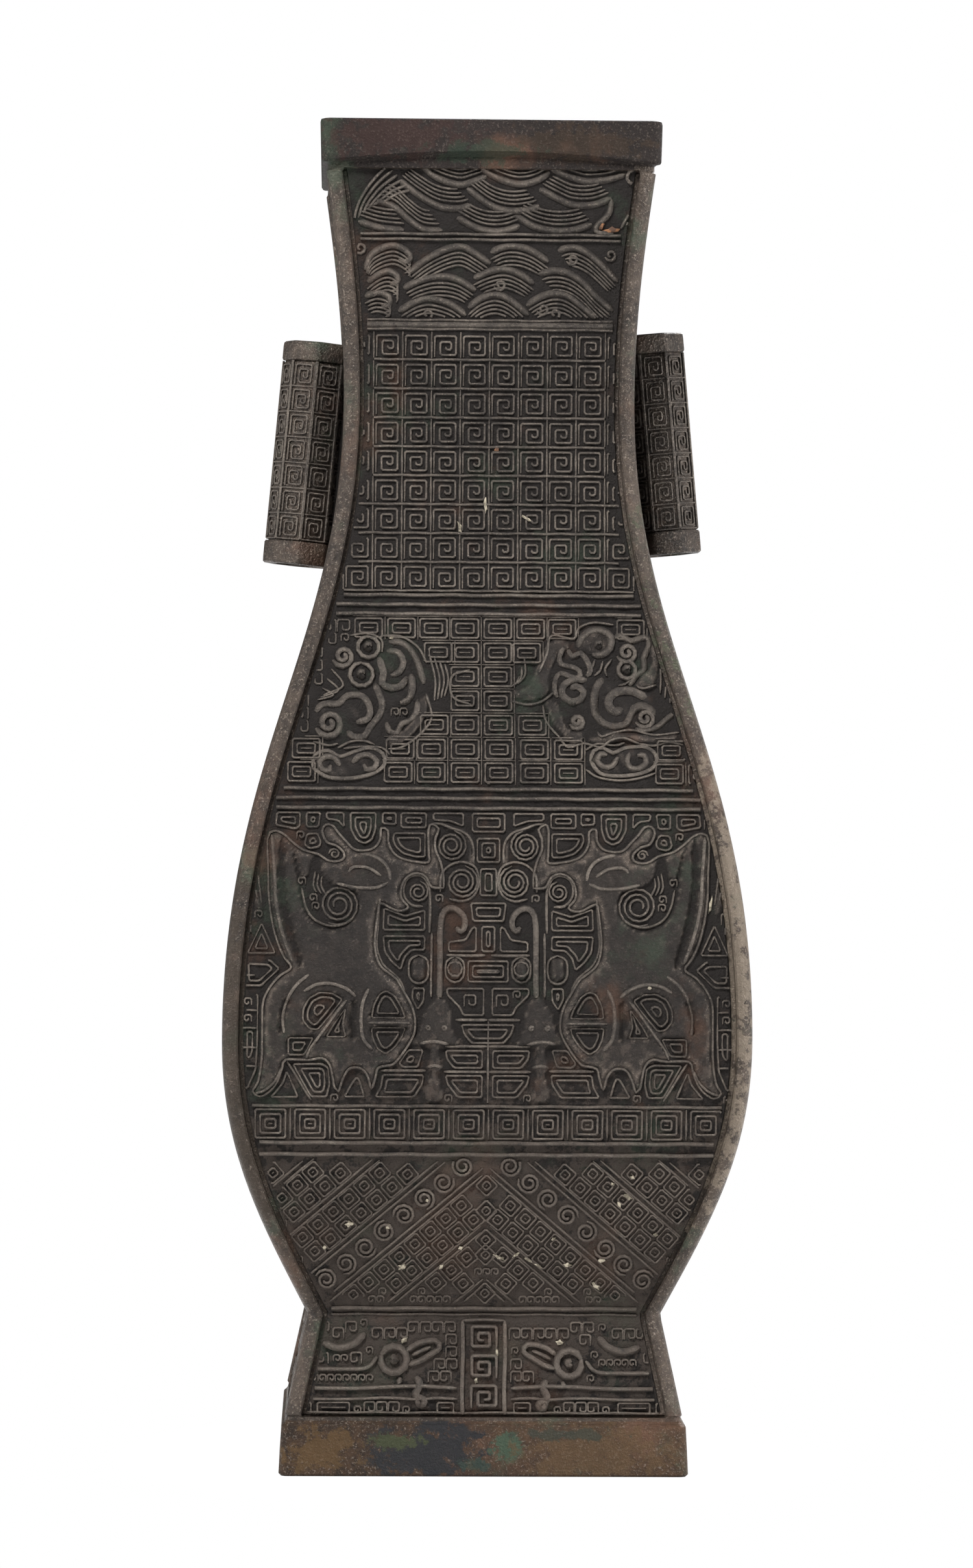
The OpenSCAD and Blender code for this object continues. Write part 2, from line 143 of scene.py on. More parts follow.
floor_mesh.materials.append(floor_material)
floor = add_object("floor", floor_mesh)

# The bronze: a dark brown skin, worn to a paler warm grey where hands reach it, with dirt and painted shade in
# the low places, pale specks that double as painted glints, green and red-brown spots of corrosion, and a fine cast
# grain.
dirt_and_shade, pale_specks_and_glints = (0.0155, 0.0125, 0.011, 1), (0.2, 0.165, 0.135, 1)
green_spots, brown_spots = (0.035, 0.055, 0.034, 1), (0.1, 0.05, 0.03, 1)
dull, worn_smooth, dirt_roughness = 0.5, 0.34, 0.78
grain_strength, grain_depth = 0.8, 0.0003
aged = bpy.data.node_groups.new("aged_bronze", "ShaderNodeTree")
for name, value in (("Dark", (0.03, 0.026, 0.022, 1)), ("Worn", (0.12, 0.1, 0.08, 1)), ("Wear", 0.5),
                    ("Green", 0.2), ("Brown", 0.2), ("Raised", 1.0), ("Grain", 1.0)):
    kind = "NodeSocketColor" if isinstance(value, tuple) else "NodeSocketFloat"
    aged.interface.new_socket(name, in_out="INPUT", socket_type=kind).default_value = value
for name, kind in (("Color", "NodeSocketColor"), ("Roughness", "NodeSocketFloat"), ("Height", "NodeSocketFloat")):
    aged.interface.new_socket(name, in_out="OUTPUT", socket_type=kind)


def noise(tree, where, scale, detail, roughness=0.5):
    return node(tree, "ShaderNodeTexNoise", in_Vector=where, in_Scale=scale, in_Detail=detail,
                in_Roughness=roughness).outputs["Fac"]


def mix(tree, fac, first, second):
    return node(tree, "ShaderNodeMix", data_type="RGBA", in_0=fac, in_6=first, in_7=second).outputs[2]


def add_up(tree, first, factor, second):
    return node(tree, "ShaderNodeMath", operation="MULTIPLY_ADD", in_0=first, in_1=factor, in_2=second).outputs[0]


given = node(aged, "NodeGroupInput").outputs
spot = node(aged, "ShaderNodeTexCoord").outputs["Object"]
shifted = node(aged, "ShaderNodeMapping", in_Location=(3.1, 1.7, 0.4), in_Vector=spot).outputs["Vector"]
fine, pits = noise(aged, spot, 520, 4, 0.7), noise(aged, spot, 2000, 3, 0.7)
patches = add_up(aged, ramp(aged, noise(aged, spot, 38, 6, 0.62), 0.36, 0.66), 0.6,
                 times(aged, ramp(aged, fine, 0.38, 0.62), 0.5))
worn_mask = times(aged, times(aged, patches, given["Wear"]), given["Raised"])
# Pale mineral specks on the raised and worn parts, which also serve as painted glints.
speck_and_glint_mask = times(aged, times(aged, ramp(aged, pits, 0.55, 0.66), 0.8), given["Raised"])
green_mask = ramp(aged, noise(aged, spot, 62, 7, 0.7), 0.54, 0.68)
brown_mask = ramp(aged, noise(aged, shifted, 47, 6, 0.66), 0.54, 0.7)
# Where Raised is low the skin takes the colour of dirt and painted shade, where it is high the dark bronze.
skin = mix(aged, given["Raised"], dirt_and_shade, given["Dark"])
for mask, color in ((worn_mask, given["Worn"]), (times(aged, speck_and_glint_mask, given["Wear"]), pale_specks_and_glints),
                    (times(aged, green_mask, given["Green"]), green_spots),
                    (times(aged, brown_mask, given["Brown"]), brown_spots)):
    skin = mix(aged, mask, skin, color)
rough = node(aged, "ShaderNodeMapRange", in_Value=patches, in_To_Min=dull, in_To_Max=worn_smooth)
matt = node(aged, "ShaderNodeMapRange", in_Value=given["Raised"], in_To_Min=dirt_roughness,
            in_To_Max=rough.outputs["Result"])
height = add_up(aged, pits, times(aged, given["Grain"], 1.6), times(aged, fine, given["Grain"]))
node(aged, "NodeGroupOutput", in_Color=skin, in_Roughness=matt.outputs["Result"], in_Height=height)


def bronze(name, dark, worn, wear, green, brown, grain=1.0, metal=0.55, raised=1.0):
    """The bronze of one place. Raised says how far it stands out of the dirt and painted shade, as a number or
    as the name of an attribute of its meshes, which also paints their lit parts lighter as painted highlights."""
    material = bpy.data.materials.new(name)
    material.use_nodes = True
    tree = material.node_tree
    if isinstance(raised, str):
        raised = node(tree, "ShaderNodeAttribute", attribute_name=raised).outputs["Fac"]
    finish = node(tree, "ShaderNodeGroup", node_tree=aged, in_Dark=(*dark, 1), in_Worn=(*worn, 1), in_Wear=wear,
                  in_Green=green, in_Brown=brown, in_Grain=grain, in_Raised=raised).outputs
    bump = node(tree, "ShaderNodeBump", in_Strength=grain_strength, in_Distance=grain_depth,
                in_Height=finish["Height"])
    feed(tree, tree.nodes["Principled BSDF"], in_Metallic=metal, in_Specular_IOR_Level=0.45,
         in_Base_Color=finish["Color"], in_Roughness=finish["Roughness"], in_Normal=bump.outputs["Normal"])
    return material


# The body: one cast wall of rectangular section, with a recessed panel on each side
# between rounded corner strips. It is cast whole, hollow, with a closed floor above the foot.
# Sizes are in mm. At each height the wall has a half width and a half depth.
foot_band_h, waist_z, belly_z, neck_z, mouth_z = 10.7, 33, 90, 222, 271.5
recess, strip_w, wall = 1.3, 3.3, 4.0
panel_low, panel_high = 12.3, 270.6
band_top, lip_bottom = 11.5, 270.4


def bezier(a, b, c, d, n):
    t = np.linspace(0, 1, n)[:, None]
    a, b, c, d = (np.array(p, float) for p in (a, b, c, d))
    return (1 - t) ** 3 * a + 3 * (1 - t) ** 2 * t * b + 3 * (1 - t) * t * t * c + t ** 3 * d


def outline(foot, waist, belly, neck, mouth):
    """The wall's outline from the foot band to the mouth, from the full widths at five heights."""
    low, wide, slim, top = waist / 2, belly / 2, neck / 2, mouth / 2
    swell, shoulder, flare = belly_z - waist_z, neck_z - belly_z, mouth_z - neck_z
    return np.concatenate([
        np.array([[foot / 2 - 0.9, foot_band_h]]),
        bezier((low, waist_z), (low + (wide - low) * 0.57, waist_z + swell * 0.35),
               (wide, belly_z - swell * 0.39), (wide, belly_z), 40),
        bezier((wide, belly_z), (wide, belly_z + shoulder * 0.45),
               (slim, neck_z - shoulder * 0.39), (slim, neck_z), 60)[1:],
        bezier((slim, neck_z), (slim, neck_z + flare * 0.4),
               (top - flare * 0.042, mouth_z - flare * 0.31), (top, mouth_z), 30)[1:]])


front_line = outline(84.5, 73, 108.5, 60.5, 69)
side_line = outline(66, 57, 83, 46, 53)


def half_w(z):
    return np.interp(z, front_line[:, 1], front_line[:, 0])


def half_d(z):
    return np.interp(z, side_line[:, 1], side_line[:, 0])


def smooth_faces(mesh):
    mesh.polygons.foreach_set("use_smooth", [True] * len(mesh.polygons))


def finish_piece(piece):
    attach(piece, "root")
    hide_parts("vase")


def add_piece(name, points, faces, material, sharp=30):
    mesh = bpy.data.meshes.new(name)
    mesh.from_pydata([tuple(p) for p in np.asarray(points) * 0.001], [], [tuple(f) for f in faces])
    mesh.materials.append(material)
    smooth_faces(mesh)
    mesh.set_sharp_from_angle(angle=math.radians(sharp))
    mesh.validate()
    return add_object(name, mesh)


def stack_faces(levels, around, first=0, closed=False):
    """The faces between loops of points, with a cap at both ends or closed into a ring."""
    faces = []
    for level in range(levels - (not closed)):
        low, high = first + level * around, first + (level + 1) % levels * around
        faces += [(low + k, low + (k + 1) % around, high + (k + 1) % around, high + k) for k in range(around)]
    if not closed:
        last = first + (levels - 1) * around
        faces += [tuple(reversed(range(first, first + around))), tuple(range(last, last + around))]
    return faces


def ring(z, w, d, sunk=0.0, edge=2.1, arch=0.0):
    """A loop round the body at one height, anticlockwise from above, with the panels sunk between
    the strips, and raised by the arch in the middle of each side."""
    lip = strip_w + 0.1
    rim = [(lip + 0.9, sunk * 1.5), (lip, sunk * 1.5), (strip_w, sunk * 0.4), (strip_w - 0.35, sunk * 0.06),
           (strip_w - 1.1, 0)]
    turns = [math.pi / 2 * (1 - step / 5) for step in range(6)]
    quarter = [(w - along, d - deep) for along, deep in rim]
    quarter += [(w - edge + edge * math.cos(turn), d - edge + edge * math.sin(turn)) for turn in turns]
    quarter += [(w - deep, d - along) for along, deep in reversed(rim)]
    between = np.linspace(1, -1, 11)[1:-1]
    back = [(quarter[0][0] * t, d - sunk * 1.5) for t in between]
    end = [(-w + sunk * 1.5, quarter[-1][1] * t) for t in between]
    half = quarter[::-1] + back + [(-x, y) for x, y in quarter] + end
    loop = half + [(-x, -y) for x, y in half]
    return [(x, y, z + arch * (1 - (abs(x) / w if abs(y) / d > abs(x) / w else abs(y) / d) ** 2)) for x, y in loop]


# The wall's loops go from the hollow foot round its rim, up the outside, over the lip and down the inside.
# Each row is a height, a half width and a half depth, then the recess, the corner's radius and the arch.
inside = [(29.5, 36.5, 28.5), (28, 36.5, 28.5), (0.5, 42.0, 32.8), (0, 42.7, 33.5)]
foot_band = [(0, 41.7, 32.5, 0, 1.4), (0.5, 42.2, 32.95, 0, 1.6), (5, 42.0, 32.75, 0, 1.6),
             (10.2, 41.7, 32.45, 0, 1.4), (10.6, 41.4, 32.15, 0, 1.4), (foot_band_h, 41.2, 31.9, 0, 1.4),
             (11.3, 40.85, 31.5, 0, 1.6), (12.0, half_w(12) - 0.4, half_d(12) - 0.4, 0, 1.6)]
lip_band = [(269.9, 33.9, 25.9), (270.5, 33.9, 25.9, 0, 2.1, 1.8), (270.75, 34.3, 26.3, 0, 2.1, 2.0),
            (270.85, 35.0, 27.0, 0, 1.6, 2.2), (271.2, 35.25, 27.3, 0, 1.8, 2.2), (275, 35.35, 27.4, 0, 1.8, 0.6),
            (279.2, 35.45, 27.45, 0, 1.8), (279.8, 35.3, 27.3, 0, 1.8), (280, 34.8, 26.8, 0, 1.8)]
rings = [ring(z, w - wall, d - wall, edge=2) for z, w, d in inside] + [ring(*row) for row in foot_band]
heights = [12.15, 12.5, *np.arange(14, 269, 1.6), 269.2, 269.6]
for z in heights:
    close = 0.3 if z in (heights[0], heights[-1]) else 0.0
    rings.append(ring(z, half_w(z) - close, half_d(z) - close, recess))
rings += [ring(*row) for row in lip_band]
rings += [ring(z, w - wall, d - wall, edge=2) for z, w, d in ((280, 35.1, 27.1), (279.6, 34.5, 26.5))]
for z, inset in [(z, wall) for z in (*np.arange(270, 34, -4.0), 34.5)] + [(waist_z, wall + 1.5)]:
    rings.append(ring(z, half_w(z) - inset, half_d(z) - inset, edge=2.5))

strip_bronze = bronze("worn_strip_bronze", (0.0145, 0.0108, 0.0084), (0.07, 0.0515, 0.0385),
                      wear=0.75, green=0.5, brown=0.4, grain=1.1)
band_bronze = bronze("foot_band_bronze", (0.014, 0.008, 0.0045), (0.075, 0.04, 0.019),
                     wear=0.9, green=0.5, brown=0.6, grain=1.3, metal=0.65, raised=0.7)
# The lip's bronze is a darker copy: partly the lip's own darker red-brown, partly painted shade on the smooth band of
# the mouth.
lip_bronze = bronze("lip_bronze", (0.0075, 0.0052, 0.0046), (0.032, 0.0215, 0.0185),
                    wear=0.6, green=0.5, brown=0.6, grain=1.3, metal=0.7, raised=0.55)


def lay_patches(material, spots):
    """Patches that lie only in one place: where and how large, in mm, their colour and how much they
    cover. Noise frays their edges."""
    tree = material.node_tree
    color = tree.nodes["Principled BSDF"].inputs["Base Color"]
    spot = node(tree, "ShaderNodeTexCoord").outputs["Object"]
    ragged, fray, outer, inner = noise(tree, spot, 300, 8, 0.72), 5.0, 3.65, 3.3
    for place, size, paint, amount in spots:
        near = node(tree, "ShaderNodeMapping", vector_type="TEXTURE", in_Vector=spot,
                    in_Location=[v * 0.001 for v in place], in_Scale=[v * 0.001 for v in size])
        far = node(tree, "ShaderNodeVectorMath", operation="LENGTH", in_0=near.outputs["Vector"])
        torn = add_up(tree, ragged, fray, far.outputs["Value"])
        cover = ramp(tree, torn, outer, inner, in_To_Min=0.0, in_To_Max=amount)
        tree.links.new(mix(tree, cover, color.links[0].from_socket, (*paint, 1)), color)


lay_patches(band_bronze, (
    ((-11, -33, 5.4), (12, 5, 5.2), (0.013, 0.0135, 0.0155), 0.95),
    ((5, -33, 6.2), (3.5, 4, 3), (0.03, 0.055, 0.035), 0.85),
    ((-17.5, -33, 7.2), (5, 4, 1.6), (0.038, 0.045, 0.018), 0.75),
    ((-33, -33, 5.5), (7, 4, 4), (0.075, 0.043, 0.016), 0.75),
    ((23, -33, 5), (15, 4, 5), (0.07, 0.041, 0.018), 0.65),
    ((16, -33, 8.6), (9, 4, 1.2), (0.018, 0.026, 0.02), 0.7),
    ((-2, -33, 2.5), (3, 4, 1.5), (0.025, 0.045, 0.032), 0.5)))
lay_patches(lip_bronze, (
    ((-20, -27, 276.5), (14, 5, 4), (0.032, 0.014, 0.011), 0.5),
    ((17, -27, 275), (12, 5, 3.5), (0.034, 0.021, 0.012), 0.5),
    ((-2, -27, 273), (9, 5, 2), (0.018, 0.032, 0.02), 0.6)))
# On the strips: the pale patch on the right front strip is a painted highlight, for light from the right; the green
# one is corrosion; the dark one on the left front strip is painted shade.
lay_patches(strip_bronze, (
    ((47, -36, 100), (9, 9, 42), (0.15, 0.12, 0.09), 0.7),
    ((43, -30, 196), (9, 9, 30), (0.04, 0.048, 0.026), 0.6),
    ((-50, -36, 86), (9, 9, 40), (0.026, 0.018, 0.0115), 0.75)))
body = add_piece("body_wall", [p for loop in rings for p in loop], stack_faces(len(rings), len(rings[0])),
                 strip_bronze)
body.data.materials.append(band_bronze)
body.data.materials.append(lip_bronze)
for face in body.data.polygons:
    z = face.center.z * 1000
    face.material_index = 1 if z < band_top else 2 if z > lip_bottom else 0
finish_piece(body)

# The panels: the sunk ground of the relief on all four sides, with the smooth swelling bodies
# of the beasts, bells, whorls and clouds. They are cast with the wall and never polished.
pad_low, pad_high = 76.8, 177.2
grid_step, grid_reach, grid_low, grid_high = 0.25, 52, 76, 178.3


def smooth_line(points, step=0.8, closed=False):
    """A soft curve through given points, cut into short straight steps."""
    p = np.array(points, float)
    p = np.vstack([p[-1], p, p[:2]]) if closed else np.vstack([2 * p[0] - p[1], p, 2 * p[-1] - p[-2]])
    out = []
    for i in range(1, len(p) - 2):
        n = max(1, int(round(np.linalg.norm(p[i + 1] - p[i]) / step)))
        for k in range(n):
            t = k / n
            out.append(0.5 * (2 * p[i] + (p[i + 1] - p[i - 1]) * t
                              + (2 * p[i - 1] - 5 * p[i] + 4 * p[i + 1] - p[i + 2]) * t * t
                              + (3 * p[i] - p[i - 1] - 3 * p[i + 1] + p[i + 2]) * t ** 3))
    if not closed:
        out.append(p[-2])
    return np.array(out)


def inside_depth(x, z, shape):
    """How deep each point lies inside a closed outline, zero outside it."""
    inside = np.zeros(x.shape, bool)
    depth = np.full(x.shape, 1e9)
    for a, b in zip(shape, np.roll(shape, -1, axis=0)):
        crosses = (a[1] > z) != (b[1] > z)
        at = a[0] + (z - a[1]) / (b[1] - a[1] + 1e-12) * (b[0] - a[0])
        inside ^= crosses & (x < at)
        run = b - a
        t = np.clip(((x - a[0]) * run[0] + (z - a[1]) * run[1]) / (run @ run + 1e-12), 0, 1)
        depth = np.minimum(depth, np.hypot(x - a[0] - t * run[0], z - a[1] - t * run[1]))
    return np.where(inside, depth, 0)


relief_x = np.arange(-grid_reach, grid_reach + 0.1, grid_step)
relief_z = np.arange(grid_low, grid_high, grid_step)
relief = np.zeros((len(relief_z), len(relief_x)))


def shape_relief(points, top, edge=0.9, sides=(1, -1), sink=False):
    """Swells a closed outline up to a height, or sinks it into what is there, on one or both halves."""
    shape = smooth_line(points, 1.0, closed=True)
    for hand in sides:
        turned = shape * np.array([hand, 1])
        low, high = turned.min(axis=0) - 0.3, turned.max(axis=0) + 0.3
        cols = np.where((relief_x > low[0]) & (relief_x < high[0]))[0]
        rows = np.where((relief_z > low[1]) & (relief_z < high[1]))[0]
        x, z = np.meshgrid(relief_x[cols], relief_z[rows])
        part = np.clip(inside_depth(x, z, turned) / edge, 0, 1)
        window = np.ix_(rows, cols)
        if sink:
            relief[window] = np.minimum(relief[window], relief[window] * (1 - part) + top * part)
        else:
            relief[window] = np.maximum(relief[window], top * np.sqrt(1 - (1 - part) ** 2))


# A beast's smooth body with its head, plume, legs and claws, on the right half.
# The left half mirrors it. The fields of frets are sunk into it.
beast_body = [
    (9.2, 121.2), (9.3, 124), (9.9, 126.6), (10.9, 129), (10.9, 131.4), (10.2, 133.2), (11.6, 134.2),
    (12.3, 133), (12.2, 128), (12.3, 126.4), (15, 126.5), (18, 127.2), (19.8, 128.7), (20.6, 130.8),
    (20.6, 132.8), (22, 133.3), (22.2, 131), (23.4, 129.3), (25.5, 128.7), (27.6, 129), (29.2, 130.6),
    (30.7, 132.2), (32, 133.8), (33.4, 133.9), (34.1, 132.6), (33.1, 130.4), (31.2, 129.7), (29.6, 128.2),
    (29.8, 126.9), (31.5, 126.4), (33.2, 126.8), (34.6, 127.8), (36.3, 128.3), (38, 128.8), (40.2, 130.4),
    (42, 132), (44, 132.6), (45.2, 131), (45, 124), (44.9, 120), (44.3, 115), (43.2, 110.5), (41.7, 107),
    (40.2, 104.8), (42.5, 103.1), (44.6, 100.6), (45.9, 97.5), (46, 92), (46.1, 86), (46.8, 81.5),
    (47.9, 79.5), (46.4, 78.5), (44.4, 79.6), (42.9, 81.6), (41.9, 84.4), (41.2, 86), (36.4, 86),
    (33.8, 86.4), (32.2, 85), (31.6, 82.5), (31.2, 80.4), (30.4, 79.6), (29.6, 82), (28.5, 84), (27.2, 84.5),
    (25.6, 84.2), (24.4, 82.6), (23.7, 80.2), (22.9, 82.4), (22.4, 84.4), (20.6, 84.9), (19.3, 85.2),
    (17.8, 86.8), (15.8, 89.8), (14.9, 92), (14.9, 94.8), (15.8, 97.6), (17.2, 100), (18.6, 102.4),
    (20.2, 103.7), (21.8, 105), (22.8, 107), (23.2, 110), (22.9, 113.5), (22.5, 116.6), (22, 118),
    (18.6, 116.5), (16.4, 117.2), (17.8, 119), (17.8, 121.4), (16.6, 123.4), (14.6, 124.2), (12.8, 123.4),
    (11.6, 121.4)]
coil_field = [
    (27, 120.7), (26.1, 118.6), (26, 116.6), (27.2, 114.3), (29, 112.8), (31.2, 112.1), (33.6, 112.3),
    (35.8, 113.3), (37.5, 115.3), (38.6, 117.8), (39.3, 121), (39.6, 125), (40.3, 128.2), (41, 130),
    (39.6, 128.6), (38.9, 126), (38, 123), (36.9, 125), (36.3, 127.4), (34.5, 127.2), (33.9, 125),
    (33, 123), (30.8, 121.9)]
oval_top = [(16.4, 94.3), (17.3, 96.8), (18.8, 99.3), (20.6, 100.5), (22.3, 99.9), (23.6, 97.4), (24.1, 94.3)]
oval_low = [(16.4, 93), (24.1, 93), (23.8, 90.4), (22.7, 88), (20.8, 86.9), (18.8, 88.3), (17.2, 90.6)]
thigh_field = [(29.3, 98.4), (31.6, 99.9), (34.4, 100.1), (36.8, 98.8), (38, 96.4), (38.1, 94), (36.6, 92.1),
               (34.6, 91.8), (32, 94.8)]
knee_field = [(28.9, 97), (29.3, 93), (28.5, 90.4), (33.5, 90.4), (31.9, 93.2)]
heel_field = [(35.1, 90.8), (41, 90.8), (41, 86.7), (37.2, 86.7)]
shape_relief(beast_body, 0.85, 2.6)
for field in (coil_field, oval_top, oval_low, thigh_field, knee_field, heel_field):
    shape_relief(field, 0.0, 0.4, sink=True)
for slit in (
        [(42.6, 132), (43.3, 124), (42.7, 117), (41.3, 111.2), (38.4, 104.4), (38, 106.6), (39.7, 112.5),
         (40.9, 118), (41.6, 124), (41.4, 129)],
        [(41.6, 98.8), (42.8, 95.4), (42.9, 91.6), (41.8, 91.2), (41.2, 94.6), (40.2, 98)],
        [(27.9, 98.6), (28.4, 94), (27.9, 90), (26.8, 90.2), (26.9, 94), (26.6, 98)]):
    shape_relief(slit, 0.0, 0.35, sink=True)
for points, top in (
        ([(9.1, 98.5), (10.7, 98.8), (11.7, 97.5), (13.1, 95.5), (13.8, 93), (14.4, 91.2), (15.6, 89.7), (12, 89),
          (11.8, 86), (12.6, 84.5), (11.6, 83.3), (12.7, 78.2), (9.2, 78.2), (10.2, 83.3), (9.1, 84.5), (9.9, 86),
          (9.7, 89), (5.9, 89.2), (6.8, 91), (7.4, 93), (7.6, 95), (8, 97)], 0.95),
        ([(45.9, 132), (48.5, 128), (49.3, 122), (48, 117), (46.2, 116), (46.9, 122), (46.6, 128)], 0.55),
        ([(5.9, 102.9), (7.7, 102.9), (7.7, 106.4), (5.9, 106.4)], 0.85),
        ([(13.2, 102.7), (15.2, 102.7), (15.2, 106.6), (13.2, 106.6)], 0.85),
        ([(2.6, 125.8), (3.2, 129), (3.4, 131.4), (5, 133), (8, 133.9), (9.6, 134.6), (8.6, 133.2), (5.6, 132),
          (4.5, 130.2), (4, 127), (4.6, 126)], 0.6)):
    shape_relief(points, top, 0.8)
# The two curled beasts and their clouds lie freer, so each half has its own outlines.
for points, top, edge in (
        ([(5, 161.6), (6.2, 160.2), (8.6, 159.9), (11, 160.5), (12.6, 162), (12.4, 164.4), (13.2, 167),
          (14.6, 169.4), (17, 171), (15.4, 172.3), (13, 172), (11.2, 170.2), (10, 167.2), (9, 164.4),
          (7.4, 162.4)], 0.9, 1.1),
        ([(18.2, 171), (19, 173), (20.6, 174.6), (23, 175), (25, 174.3), (26, 172.8), (25.4, 170.6), (23.8, 169.3),
          (21.4, 169.2), (19.6, 170)], 0.5, 1.0),
        ([(13.6, 160), (13.6, 163), (14.8, 165.2), (17, 166.6), (19, 165.4), (20.6, 163.6), (22, 160.8),
          (21.6, 157.6), (19.4, 157.8), (17, 158.6), (15, 159)], 0.3, 1.0),
        ([(11.8, 159.6), (12.8, 155.8), (15.4, 152.6), (17, 150.9), (19.4, 151.4), (19.2, 153.4), (17, 153.4),
          (15.2, 156), (14.2, 159.4)], 0.85, 1.0),
        ([(23, 163.6), (22.4, 160), (22.8, 156.6), (25, 154.8), (28.4, 155.4), (30, 158), (33.6, 158.6), (34, 161),
          (31.4, 162.2), (29.6, 163), (27, 163.4)], 0.35, 1.0),
        ([(30.4, 162.6), (31.6, 165.2), (33.6, 167.4), (33.4, 171), (34.8, 172.8), (35.2, 168), (34.6, 164.4),
          (33.6, 162.6)], 0.75, 0.9),
        ([(19.8, 151.6), (24, 153.2), (29, 153), (33.6, 152.6), (38.8, 153), (38.6, 151.6), (33, 151.2), (28, 151.8),
          (24, 151)], 0.65, 0.8),
        ([(20.6, 146.8), (21, 149.4), (23.4, 149.8), (26, 149.6), (28.8, 150), (32, 150.2), (34.2, 148.8),
          (34, 146.2), (31, 144.8), (27, 144.3), (23, 144.8)], 0.4, 1.0),
        ([(-36.2, 145.2), (-35.6, 148.2), (-33, 149.1), (-30.6, 147.9), (-27, 148.9), (-24, 149.6), (-21.6, 148.4),
          (-21.4, 146.4), (-23.6, 144.6), (-28, 143.4), (-33, 143.6)], 0.4, 1.0),
        ([(-12.4, 160.4), (-12.9, 156.6), (-15, 153.2), (-18, 150.8), (-21, 150.6), (-20.6, 152.4), (-17.6, 153.4),
          (-15.4, 156.4), (-14.4, 160)], 0.85, 1.0),
        ([(-36, 152.4), (-36.6, 156), (-34, 158.9), (-31, 159), (-28.6, 161), (-25.4, 160.6), (-24, 158),
          (-24.4, 155.4), (-27, 154.4), (-29.4, 155.6), (-30, 152.6), (-33, 151.4)], 0.35, 1.0),
        ([(-23.6, 168), (-22.8, 164.6), (-24, 161), (-22, 158), (-19, 158.2), (-17, 159.6), (-15.4, 162),
          (-15.8, 165.6), (-17, 169.4), (-20.4, 170.2)], 0.35, 1.0),
        ([(-4.6, 159.6), (-1.2, 160.2), (0.4, 162.6), (-1.6, 165), (-5, 165), (-7, 162.6)], 0.35, 1.5)):
    shape_relief(points, top, edge, sides=(1,))


def lift_at(x, z):
    """Height of the relief's smooth bodies at points of a face, read between the grid's points."""
    inside = (np.abs(x) < grid_reach - 0.1) & (z > pad_low) & (z < pad_high)
    i = np.clip((x + grid_reach) / grid_step, 0, len(relief_x) - 1.001)
    j = np.clip((z - grid_low) / grid_step, 0, len(relief_z) - 1.001)
    a, b = i.astype(int), j.astype(int)
    u, v = i - a, j - b
    level = (relief[b, a] * (1 - u) * (1 - v) + relief[b, a + 1] * u * (1 - v)
             + relief[b + 1, a] * (1 - u) * v + relief[b + 1, a + 1] * u * v)
    return np.where(inside, level, 0)


class Side:
    """One of the four faces: where its points lie in space, with how much narrower its figures are."""

    def __init__(self, name, turn, line, across_line, squeeze):
        self.name, self.turn, self.squeeze = name, math.radians(turn), squeeze
        self.width, self.depth = line, across_line

    def half(self, z):
        return self.width(z) - strip_w - 0.75

    def place(self, u, z, up):
        out = self.depth(z) - recess + up
        c, s = math.cos(self.turn), math.sin(self.turn)
        return np.stack([c * u + s * out, s * u - c * out, z], axis=-1)


sides = [Side("front", 0, half_w, half_d, 1.0), Side("back", 180, half_w, half_d, 1.0),
         Side("left", -90, half_d, half_w, 0.765), Side("right", 90, half_d, half_w, 0.765)]


def write_values(mesh, name, values):
    mesh.attributes.new(name, "FLOAT", "POINT").data.foreach_set("value", values)


def panel(side):
    """One side's ground as a fine grid with its rim turned in, and how far each point stands out of dirt and painted
    shade.
    """
    fine = 0.56 if side.squeeze == 1 else 0.7
    z_list = np.concatenate([np.arange(panel_low, pad_low, 1.5), np.arange(pad_low, pad_high, fine),
                             np.arange(pad_high, panel_high, 1.5), [panel_high]])
    columns = int(2 * side.half(belly_z) / fine)
    u = np.linspace(-1, 1, columns)[None, :] * side.half(z_list)[:, None]
    z = np.repeat(z_list[:, None], columns, axis=1)
    up = lift_at(u / side.squeeze, z)
    up += 0.07 * np.sin(u * 0.9 + 1.3) * np.sin(z * 0.73) + 0.05 * np.sin(u * 2.1 + z * 1.7)
    skirt = np.zeros(u.shape, bool)
    skirt[0] = skirt[-1] = True
    skirt[:, 0] = skirt[:, -1] = True
    # Painted light and shade: the low ground takes the colour of dirt and painted shade, each smooth body's rising
    # edge is painted light as a highlight along its rim, and its top is darker again.
    raised = (np.clip((up - 0.4) / 0.25, 0, 1) * (1 - 0.85 * np.clip((up - 0.66) / 0.12, 0, 1))).ravel()
    points = side.place(u, z, np.where(skirt, -1.2, up)).reshape(-1, 3)
    grid = np.arange(len(z_list) * columns).reshape(-1, columns)
    quads = np.stack([grid[:-1, :-1], grid[:-1, 1:], grid[1:, 1:], grid[1:, :-1]], axis=-1).reshape(-1, 4)
    return points, quads, raised


ground_bronze = bronze("ground_bronze", (0.0155, 0.0125, 0.0108), (0.115, 0.09, 0.072),
                       wear=0.8, green=0.4, brown=0.45, grain=1.5, raised="raised")
low_dust = (((0, 0, 44), (90, 90, 36), (0.075, 0.058, 0.047), 0.5),)
lay_patches(ground_bronze, low_dust)
for side in sides:
    points, quads, raised = panel(side)
    piece = add_piece("panel_" + side.name, points, quads, ground_bronze, 60)
    write_values(piece.data, "raised", raised)
    finish_piece(piece)

